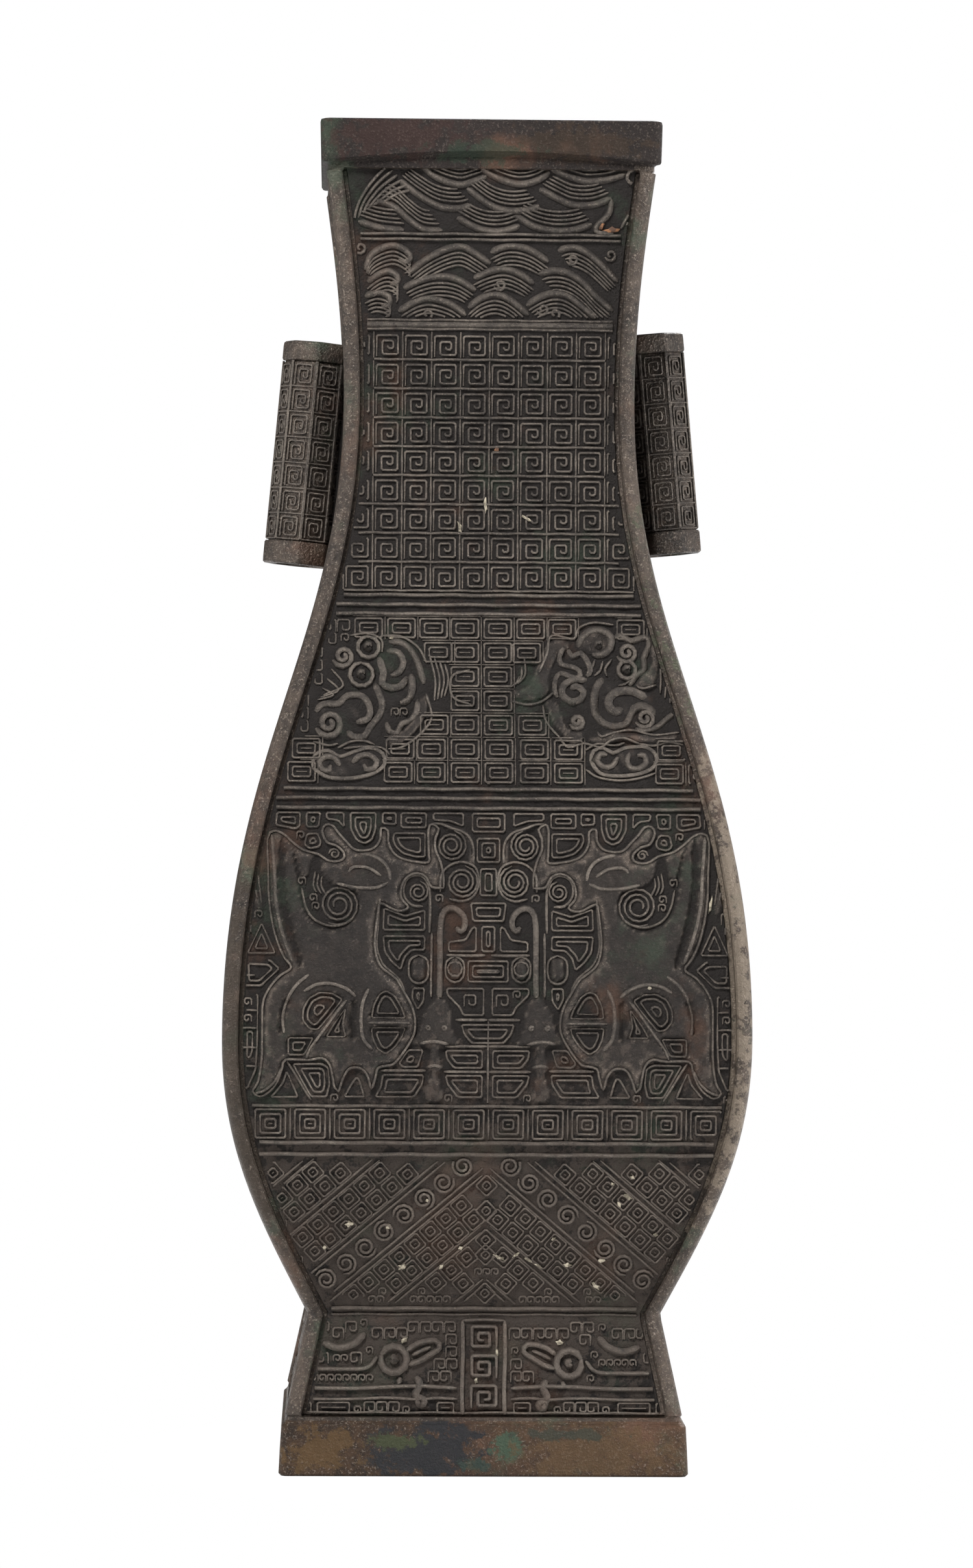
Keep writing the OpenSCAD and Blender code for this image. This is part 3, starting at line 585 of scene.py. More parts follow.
# The raised lines of the relief: narrow ridges cast on the ground, a little flattened by wear.
# Each register draws its own; one path tool sweeps them all. None stands as high as the corner strips.
highest = 1.2
sweep = bpy.data.node_groups.new("ridge_sweep", "GeometryNodeTree")
for name, way, kind in (("Geometry", "INPUT", "NodeSocketGeometry"), ("Ridge Radius", "INPUT", "NodeSocketFloat"),
                        ("Ridge Material", "INPUT", "NodeSocketMaterial"),
                        ("Geometry", "OUTPUT", "NodeSocketGeometry")):
    sweep.interface.new_socket(name, in_out=way, socket_type=kind)
given = node(sweep, "NodeGroupInput").outputs
paths = node(sweep, "GeometryNodeMeshToCurve", in_Mesh=given["Geometry"]).outputs["Curve"]
round_bar = node(sweep, "GeometryNodeCurvePrimitiveCircle", in_Resolution=5, in_Radius=given["Ridge Radius"])
width = node(sweep, "GeometryNodeInputNamedAttribute", data_type="FLOAT", in_Name="width").outputs["Attribute"]
bar = node(sweep, "GeometryNodeCurveToMesh", in_Curve=paths, in_Profile_Curve=round_bar.outputs["Curve"],
           in_Scale=width, in_Fill_Caps=True).outputs["Mesh"]
whole = node(sweep, "GeometryNodeRealizeInstances", in_Geometry=bar).outputs["Geometry"]
painted = node(sweep, "GeometryNodeSetMaterial", in_Geometry=whole, in_Material=given["Ridge Material"])
node(sweep, "NodeGroupOutput", in_Geometry=painted.outputs["Geometry"])


def sweep_piece(name, chains, material, outward, radius=0.0001):
    """Chains are lists of (x, y, z, width) in mm, the width as a count of tenths of a millimetre.
    A ridge takes the colour of dirt and painted shade where it turns from the outward direction, and a painted
    highlight where it faces out, less of it on top of a broad one, so that is written on its points."""
    points, edges = np.concatenate(chains), []
    for chain in chains:
        first = edges[-1][1] + 1 if edges else 0
        edges += [(first + k, first + k + 1) for k in range(len(chain) - 1)]
    mesh = bpy.data.meshes.new(name)
    mesh.from_pydata([tuple(p) for p in points[:, :3] * 0.001], edges, [])
    write_values(mesh, "width", points[:, 3])
    source = add_object(name, mesh)
    modifier = source.modifiers.new("sweep", "NODES")
    modifier.node_group = sweep
    for item in sweep.interface.items_tree:
        if item.in_out == "INPUT" and item.name != "Geometry":
            modifier[item.identifier] = radius if item.name == "Ridge Radius" else material
    solid = bpy.data.meshes.new_from_object(source.evaluated_get(bpy.context.evaluated_depsgraph_get()))
    source.modifiers.remove(modifier)
    source.data = solid
    solid.name = name
    count = len(solid.vertices)
    thick, where, normals = np.zeros(count), np.zeros(count * 3), np.zeros(count * 3)
    solid.attributes["width"].data.foreach_get("value", thick)
    solid.attributes.remove(solid.attributes["width"])
    smooth_faces(solid)
    solid.update()
    solid.vertices.foreach_get("co", where)
    solid.vertices.foreach_get("normal", normals)
    facing = np.sum(normals.reshape(-1, 3) * outward(where.reshape(-1, 3) * 1000), axis=1)
    # Painted shade on the flanks that turn from the outward direction, a painted highlight on the tops that face out,
    # and broad ridges darker on top.
    write_values(solid, "raised", np.clip((facing - 0.1) / 0.7, 0.05, 1) * np.clip(1.2 - 0.06 * thick, 0.6, 1))
    bpy.data.meshes.remove(mesh)
    return source


class Drawing:
    """Collects the ridges of one register as lines on a flat face, in mm: points, width and height."""

    def __init__(self):
        self.lines = []

    def add(self, points, w=0.5, up=0.45):
        self.lines.append((np.array(points, float), w, up))

    def sharp(self, points, w=0.5, up=0.45, soft=0.3):
        """A line with tight corners, each rounded by a short step."""
        p = np.array(points, float)
        out = [p[0]]
        for a, b, c in zip(p[:-2], p[1:-1], p[2:]):
            for run in (a - b, c - b):
                out.append(b + run * min(0.45, soft / (np.linalg.norm(run) + 1e-9)))
        self.add(out + [p[-1]], w, up)

    def curve(self, points, w=0.5, up=0.45, step=0.8):
        self.add(smooth_line(points, step), w, up)

    def spiral(self, x, z, r, turns=2.0, start=0.0, hand=1, w=0.5, up=0.45, inner=0.25):
        t = np.linspace(0, 1, max(6, int(turns * (8 + r * 1.6))))
        a = math.radians(start) + hand * 2 * math.pi * turns * t
        s = r * (1 - (1 - inner) * t)
        self.add(np.stack([x + s * np.cos(a), z + s * np.sin(a)], axis=-1), w, up)

    def nest(self, x, z, w, h, rings=2, pitch=0.95, turn=0.0, line=0.45):
        """Rectangles one inside the other, with a short bar in the middle."""
        c, s = math.cos(math.radians(turn)), math.sin(math.radians(turn))
        for k in range(rings):
            a, b = w / 2 - k * pitch, h / 2 - k * pitch
            if min(a, b) < 0.3:
                break
            box = [(-a, 0), (-a, b), (a, b), (a, -b), (-a, -b), (-a, -0.01)]
            self.sharp([(x + c * u - s * v, z + s * u + c * v) for u, v in box], line)
        a = max(w - h, 0) / 2 + 0.25
        self.add([(x - c * a, z - s * a), (x + c * a, z + s * a)], line * 1.2)

    def cell(self, outline, rings=3, pitch=0.95, first=0.3, line=0.45, up=0.42):
        """Lines that follow the edge of a field inwards, one inside the other."""
        p = np.array(outline, float)
        if np.sum(p[:, 0] * np.roll(p[:, 1], -1) - np.roll(p[:, 0], -1) * p[:, 1]) < 0:
            p = p[::-1]
        run = np.roll(p, -1, axis=0) - p
        normal = np.stack([-run[:, 1], run[:, 0]], axis=-1) / np.linalg.norm(run, axis=1)[:, None]
        before = np.roll(normal, 1, axis=0)
        meet = (normal + before) / np.maximum(1 + np.sum(normal * before, axis=1), 0.4)[:, None]
        middle = p.mean(axis=0)
        room = np.min(np.abs(np.sum((middle - p) * normal, axis=1)))
        for d in first + np.arange(rings) * pitch:
            q = p + meet * d
            if np.any(np.sum((np.roll(q, -1, axis=0) - q) * run, axis=1) <= 0):
                if d > room * 0.8:
                    break
                q = middle + (p - middle) * (1 - d / room)
            self.sharp(np.vstack([(q[0] + q[-1]) / 2, q, (q[0] + q[-1]) / 2]), line, up)

    def fill(self, box, size, level=0.2, w=0.42, up=0.38):
        """Packs small hooks into what the other lines leave free of a box, as the mould cutter did.
        The free space is kept on a map with a few squares to the millimetre. About two in five of the
        hooks, always the same ones, are turned over."""
        x1, x2, z1, z2 = box
        per_mm = 5
        taken = np.zeros((int((z2 - z1) * per_mm) + 2, int((x2 - x1) * per_mm) + 2), bool)
        for points, width, _ in self.lines:
            close = max(1, int((width / 2 + 0.3) * per_mm))
            for a, b in zip(points[:-1], points[1:]):
                steps = max(1, int(np.linalg.norm(b - a) / 0.3))
                for x, z in a + (b - a) * np.linspace(0, 1, steps + 1)[:, None]:
                    i, j = int((z - z1) * per_mm), int((x - x1) * per_mm)
                    taken[max(i - close, 0):max(i + close + 1, 0), max(j - close, 0):max(j + close + 1, 0)] = True
        half, n = size / 2, int(size * per_mm)
        corner_x, corner_z = half * np.array([(0, -1, -1, 1, 1), (0, -1, 1, -1, 1)])
        a = half - 0.15
        hook = [(-a, -a), (-a, a), (a, a), (a, -a * 0.7), (-a * 0.15, -a * 0.7), (-a * 0.15, a * 0.15)]
        row = z1 + half
        while row < z2 - half:
            column = x1 + half
            while column < x2 - half:
                i, j = int((row - half - z1) * per_mm), int((column - half - x1) * per_mm)
                if not taken[i:i + n, j:j + n].any() and lift_at(column + corner_x, row + corner_z).max() < level:
                    hand = 1 if math.sin(row * 5.1 + column * 3.7) > -0.3 else -1
                    self.sharp([(column + hand * u, row + v) for u, v in hook], w, up)
                    taken[i:i + n, j:j + n] = True
                    column += size
                else:
                    column += 0.4
            row += size * 0.5

    def mirror(self):
        self.lines += [(p * np.array([-1, 1]), w, up) for p, w, up in self.lines]


def ridge_chains(drawing, side, z1, z2, squeeze=True):
    """Lays a drawing on a face, and cuts off what runs past its edges or out of its register."""
    chains = []
    for points, w, up in drawing.lines:
        u, z = points[:, 0] * (side.squeeze if squeeze else 1.0), points[:, 1]
        keep = (np.abs(u) < side.half(z) - 0.25) & (z > z1) & (z < z2)
        base = lift_at(points[:, 0], z) if squeeze else np.zeros(len(z))
        top = np.minimum(base + up, highest)
        width = np.full(len(z), w)
        width[0] = width[-1] = w * 0.55
        spots = np.concatenate([side.place(u, z, top - w * 0.6), (width * 6.0)[:, None]], axis=1)
        cuts = np.flatnonzero(keep[1:] != keep[:-1]) + 1
        chains += [run for run, kept in zip(np.split(spots, cuts), np.split(keep, cuts)) if kept[0] and len(run) > 1]
    return chains


ridge_bronze = bronze("ridge_bronze", (0.036, 0.03, 0.0255), (0.165, 0.138, 0.113),
                      wear=0.75, green=0.2, brown=0.3, grain=1.2, raised="raised")
lay_patches(ridge_bronze, low_dust)


def neck_frets(side):
    """Square spirals in nine rows between thin bars, cut off where the neck ends."""
    drawing = Drawing()
    cell, low, high = 6.02, 182.4, 236.6
    spiral = [(-2.42, -2.42), (-2.42, 1.92), (2.05, 1.92), (2.05, -2.0), (-1.25, -2.0), (-1.25, 0.75), (1.05, 0.75),
              (1.05, -0.85), (-0.1, -0.85), (-0.1, -0.2)]
    for row in range(9):
        z = low + cell * (row + 0.5)
        for k in range(-7, 8):
            x = (k + 0.5) * cell
            wave = 0.12 * math.sin(7.3 * k + 3.1 * row)
            drawing.sharp([(x + u, z + v + wave * (1 if abs(v) < 1.5 else 0.4)) for u, v in spiral], 0.48)
            drawing.sharp([(x + 3.01, z - 2.75), (x + 3.01, z), (x + 3.01, z + 2.75)], 0.5)
        u = np.arange(-42, 42.1, 1.5)
        drawing.curve([(t, z - 3.0 + 0.08 * math.sin(t * 0.8 + row)) for t in u[::2]], 0.5, 0.5, 3)
    return ridge_chains(drawing, side, low - 0.4, high, squeeze=False)


def waves(side):
    """Breaking waves: a smooth crest with finer lines beside it, hanging above and standing below."""
    d = Drawing()
    hanging = [
        [(-15, 271.5), (-12, 268.5), (-7, 266.7), (-4, 267.3), (-1, 268.5)],
        [(-3, 271), (0, 268.8), (4, 267.2), (7, 267), (10, 268), (12, 269.5)],
        [(10, 272), (14, 269.5), (18, 268), (20, 267.6), (24, 268), (28, 269.3)],
        [(-19, 267.5), (-15, 264.5), (-11, 262.3), (-7, 261.8), (-4, 262.5)],
        [(-5, 266), (0, 262.5), (4, 261.4), (8, 261.8), (10, 262.5)],
        [(10, 266), (14, 264), (17, 262.8), (21, 262.8), (25, 264.2)],
        [(-24, 263.5), (-20, 262), (-17, 259.5), (-14, 257.5), (-10, 257.2)],
        [(-7, 260), (-3, 257.9), (0, 257.2), (3, 257.4), (6, 258.4)],
        [(5, 260.5), (9, 258.3), (13, 257.4), (17, 257.6), (21, 258.8)],
        [(-27.5, 259), (-23, 257.7), (-18, 257.2)]]
    standing = [
        [(-26, 249), (-24.5, 252.4), (-20.5, 254.2), (-17.5, 253), (-16.6, 251.5), (-17.8, 250.6), (-19, 251.5)],
        [(-17, 248.5), (-13, 251.5), (-9, 253.5), (-6, 254), (-3, 252.5), (0, 250.5)],
        [(0, 252.8), (3, 254.1), (6, 254.1), (9, 253), (12, 251)],
        [(14, 253.3), (17, 254.1), (20, 253), (23, 250.5), (26.5, 247)],
        [(-25.5, 246.5), (-23, 248.3), (-21, 248.8), (-19.3, 247.8), (-19.5, 246.3), (-20.8, 246.2)],
        [(-18, 245.3), (-14.5, 247), (-11, 247.8), (-7, 247.3), (-3, 245)],
        [(-3.5, 247.5), (0, 249), (3, 249.5), (6, 248.5), (9, 246.5)],
        [(10, 248.5), (13, 249.2), (16, 248.8), (19, 247), (22, 244), (25.5, 241)],
        [(-26, 243.5), (-23.5, 244.4), (-21, 243.6), (-21, 241.8), (-22.6, 241.6)],
        [(-19, 240.5), (-15, 242.8), (-12, 243.2), (-8, 242), (-5, 239.8)],
        [(-4.5, 241.3), (-2, 243.3), (1, 244.2), (4, 243.2), (8, 240)],
        [(7.5, 242), (11, 244), (14, 244.6), (17, 243.5), (22, 239.5)]]
    for way, line in [(1, p) for p in hanging] + [(-1, p) for p in standing]:
        d.curve(line, 1.35, 0.62)
        soft = smooth_line(line, 0.7)
        for k in range(1, 5):
            cut = int(len(soft) * 0.045 * k)
            shifted = soft[cut:len(soft) - cut] + np.array([0, way * (0.55 + 0.85 * k)])
            if len(shifted) > 3:
                d.add(shifted, 0.45, 0.42)
    for k in range(6):
        d.curve([(-28.5 + k, 258.8 + 0.9 * k), (-27.3 + k, 263), (-24.8 + k, 267 - 0.5 * k), (-21.5 + k, 270.5 - k)],
                0.6, 0.5)
    for k in range(4):
        d.curve([(27 + k * 1.1, 258 + k * 0.6), (29 + k * 1.1, 261.5 + k * 0.3), (31.5 + k, 265.5)], 0.6, 0.5)
    d.curve([(25, 264), (24.5, 261), (21.8, 258.2), (22.5, 257), (25.5, 257)], 1.1, 0.6)
    d.curve([(30, 270.2), (28.6, 269.6), (28.2, 268.2), (29.2, 267.2), (30.4, 267.6)], 0.8, 0.6)
    for x, z in ((2, 246.2), (17, 251.6), (11, 241.2), (13.5, 240.3), (-13, 240), (25, 252.5), (-27, 253.5)):
        d.spiral(x, z, 1.3, 1.2, 200, w=0.6)
    return ridge_chains(d, side, 239.3, 255.2) + ridge_chains(d, side, 256.9, 270.4)


def bars(side):
    """The raised rings that part the registers, and the cord band above the neck's frets."""
    d = Drawing()
    u = np.linspace(-60, 60, 81)
    for z, w, up in ((255.4, 0.55, 0.6), (256.5, 0.55, 0.6), (236.9, 0.5, 0.5), (238.75, 0.5, 0.5),
                     (181.5, 0.7, 0.75), (179.5, 0.7, 0.75), (177.6, 0.7, 0.75), (141.4, 0.7, 0.75),
                     (139.5, 0.7, 0.75), (137.5, 0.7, 0.75), (76.6, 0.6, 0.6), (69.0, 0.75, 0.75),
                     (66.6, 0.75, 0.75), (34.1, 0.8, 0.75), (32.9, 0.6, 0.5), (12.9, 0.5, 0.5)):
        d.add(np.stack([u, z + 0.07 * np.sin(u * 0.5 + z)], axis=-1), w, up)
    d.add([(t, 237.8) for t in u], 1.5, 0.7)
    d.sharp([(-60, 142.6), (0, 142.6), (60, 142.6)], 0.4)
    return ridge_chains(d, side, 12, 271, squeeze=False)


def roundels(side):
    """Beasts curled up in a ring, one to the left and one to the right, on rows of square frets."""
    d = Drawing()
    for z, row in ((174.6, (-24.8, -18, -11.4, -4.9, 1.9, 8.7, 15.2, 29.4)), (169.6, (-10.4, -4.9, 1.9, 7.9)),
                   (164.6, (-4.9, 1.9)), (159.6, (-4.9, 1.9)), (154.6, (-11.2, -4.9, 2, 9)),
                   (149.6, (-37.5, -18.2, -11.8, -4.85, 2.1, 9.4, 16.4, 37.6)),
                   (144.8, (-38.4, -18.6, -11.8, -4.85, 2.1, 9.4, 16.4, 37.2, 44))):
        for x in row:
            d.nest(x, z, 5.6, 3.9, line=0.46)
            d.sharp([(x - 3.3, z + 2.5), (x, z + 2.5), (x + 3.3, z + 2.5)], 0.34, 0.36)
            d.sharp([(x + 3.4, z - 2.4), (x + 3.4, z), (x + 3.4, z + 2.4)], 0.34, 0.36)
    thick = [
        (1.5, [(18.5, 170.8), (19.4, 172.8), (21.2, 174.2), (23.6, 174.2), (25.2, 173), (25, 170.8), (23.4, 169.4),
               (21.4, 169.4)]),
        (1.2, [(15.4, 170.8), (14.6, 169), (15, 167.2), (17, 166.8), (18.8, 165.8), (18.5, 164.4), (16.6, 164.8),
               (15, 165.4), (13.9, 164.2), (13.7, 162), (14.2, 160.4)]),
        (1.6, [(20.2, 164), (17.6, 164.1), (15.4, 162.8), (15.2, 160.8), (17, 159.5), (19, 160), (19.6, 161.6),
               (18, 162.8), (16.9, 162)]),
        (1.3, [(16.4, 170.4), (17.2, 168.8), (19, 169.6), (20.3, 168), (21, 166), (20.2, 164.8)]),
        (1.3, [(26, 172.8), (27.4, 173.3), (29.4, 172.1), (30.6, 172.5), (32.6, 173), (33.2, 171.4), (32, 168.6),
               (32.2, 166.4), (30.4, 165), (29, 162.9)]),
        (1.8, [(23.6, 164.4), (22.2, 162.4), (21.6, 159.6), (22, 157), (23.7, 155.1), (26, 154.4), (28.4, 155.2),
               (29.5, 157.4), (31, 158.6), (33, 158.2), (34.2, 156.6)]),
        (2.0, [(32.6, 160.4), (29.6, 161.8), (26.6, 161.7), (24.8, 160.2), (24.8, 158.4), (26.2, 157.3),
               (27.6, 158.2)]),
        (1.1, [(30.2, 154.1), (32, 153.7), (34.6, 154.4), (36.6, 156), (38.6, 157.6)]),
        (0.9, [(20.9, 147.4), (21.6, 149.4), (23.6, 150), (25.6, 149), (27.6, 149.9), (30, 150.3), (32.6, 150.2),
               (34.4, 148.6), (34.1, 146.4), (31.4, 144.9), (27, 144.3), (23, 144.8), (20.9, 147.4)]),
        (1.1, [(29, 149), (28.4, 147.4), (29.2, 146), (31, 145.9), (32.4, 147.1), (32, 148.6), (30.6, 148.6)]),
        (1.1, [(26.6, 148.2), (25.4, 146.4), (23.6, 146.2), (22.4, 147.4), (23, 148.8), (24.4, 148.6)]),
        (1.5, [(-35.6, 157), (-34, 158.6), (-31, 158.7), (-29, 160.4), (-26, 160.3), (-24.5, 158), (-24.8, 155.8),
               (-27.2, 155)]),
        (1.5, [(-29, 153.2), (-28, 152), (-25.5, 152.1), (-24.4, 154), (-22.5, 156.4), (-21.9, 158.6),
               (-22.5, 160.8), (-23.4, 163)]),
        (1.7, [(-22.6, 168.4), (-21.6, 165), (-22, 163), (-20, 162.1), (-18, 162.6), (-16.8, 164.4)]),
        (1.3, [(-21, 169.8), (-18.6, 169.4), (-17.6, 167.4), (-18.4, 165.5), (-20.2, 164.7)]),
        (1.4, [(-20.6, 171.8), (-17.6, 171.3), (-15.4, 169), (-14.3, 166.2), (-13.4, 163)]),
        (1.6, [(-16, 165), (-15.9, 161.8), (-16.7, 159.7), (-18.3, 159.1)]),
        (1.3, [(-14.5, 159.8), (-14.9, 157), (-16.2, 155.3), (-17.8, 154.8), (-18.9, 152.8), (-20.4, 153.3),
               (-21, 155)]),
        (0.9, [(-36.2, 145.6), (-35.6, 148.2), (-33, 149.1), (-30.6, 147.9), (-27.6, 148.9), (-24.4, 149.7),
               (-21.8, 148.6), (-21.4, 146.4), (-23.6, 144.6), (-28, 143.5), (-33, 143.7), (-36.2, 145.6)]),
        (1.2, [(-30.6, 146), (-31.6, 147.6), (-33.4, 147.9), (-34.8, 146.8), (-34.2, 145.2), (-32.6, 145.1),
               (-32.4, 146.2)]),
        (1.2, [(-28, 146.6), (-26.6, 148), (-24.6, 148.2), (-23, 147), (-23.6, 145.6), (-25.2, 145.4),
               (-25.6, 146.4)])]
    for w, points in thick:
        d.curve(points, w, 0.42 + 0.14 * w, 0.9)
    for x, z, r, w in ((28.6, 169.8, 2.2, 1.0), (32.3, 156.2, 2.1, 1.0), (18.2, 155.4, 1.6, 1.1),
                       (-32.8, 154.7, 2.9, 1.3), (-30, 168.6, 2.3, 1.1)):
        d.spiral(x, z, r, 1.7, 200, w=w, up=0.7, inner=0.15)
    for x, z, r in ((22.8, 171.3, 0), (28.6, 166.2, 1.9), (-24.8, 170.6, 2.3), (-26.2, 164.9, 2.5)):
        d.spiral(x, z, 0.5, 1.0, 0, w=1.7, up=0.95, inner=0.2)
        if r:
            d.spiral(x, z, r, 1.0, 90, w=0.9, up=0.7, inner=0.95)
    for k in range(4):
        d.curve([(-12.2 + k * 1.05, 169 - k * 0.6), (-11 + k * 0.9, 164), (-11.2 + k * 0.7, 159.6 + k * 0.3)], 0.45)
        if k < 3:
            d.curve([(35.2 + 1.1 * k, 169 - 2.5 * k), (35.6 + k, 165 - 1.5 * k), (35.4 + k, 161.5 - k)], 0.45)
            d.curve([(-32.4 - k * 0.9, 166 - 2 * k), (-30 - k, 162.6 - k), (-34 - k * 0.6, 160.6 - k * 0.5)], 0.45)
            d.curve([(7.4 - k * 0.5, 168.6 - 1.9 * k), (7.6 - k, 165.2 - k), (6 - k * 1.1, 163.2 - k * 0.4)], 0.45)
    for points in ([(4.6, 159.6), (8, 158.9), (11, 159.6), (13.6, 161.6)],
                   [(11.2, 158.8), (11.9, 155.4), (14.4, 152.4), (16.4, 150.2), (19.6, 151), (23, 150.2),
                    (25, 151.6), (27.6, 152.2), (31, 151)],
                   [(10.4, 165.6), (12, 169.4), (13, 173.2), (17.6, 172.6), (18.6, 174.8), (21.6, 176), (25.8, 175.6)],
                   [(31, 151), (34, 150.6), (37, 151.4), (40, 150.8)],
                   [(20, 149.6), (22.4, 150.9), (26, 150.6), (28, 151.2)],
                   [(34.4, 145), (31, 143.9), (27, 143.4), (22.6, 144), (20, 145.6)],
                   [(-31, 149.7), (-28.4, 151), (-25.6, 151.2), (-23.4, 150.4)],
                   [(-29.8, 149.6), (-26, 150), (-22, 149.8), (-20.4, 148.4)],
                   [(-12.9, 161), (-11.8, 156), (-14.4, 152.4), (-18, 149.9), (-20.6, 149.6)],
                   [(-36, 151), (-33, 150.2), (-31, 150.6)],
                   [(-22, 173), (-18, 172.8), (-14.6, 170.6), (-12.8, 167.4)],
                   [(-28.6, 173), (-25, 173.4), (-22.2, 172.2), (-22, 169.6)],
                   [(22.4, 153.4), (23.2, 152.4), (25.6, 153.2), (29.6, 153.8), (34, 152.8), (39.2, 153.4)],
                   [(30.4, 163.2), (31.6, 162.4), (34.6, 163.2)],
                   [(25.4, 168.4), (24, 166.4), (24.4, 165)], [(22, 168.4), (21.4, 166.6)],
                   [(23.6, 168), (23, 166), (21.8, 165)], [(26.8, 163), (28.4, 163.4), (31, 165.6)],
                   [(-3.9, 166), (-7.6, 164.6), (-7.4, 160.4), (-3.6, 158.8)]):
        d.curve(points, 0.5, 0.5)
    for hook_size in (2.8, 1.8):
        d.fill((-43, 43, 142.8, 176.8), hook_size)
    return ridge_chains(d, side, 142.3, 177.3)


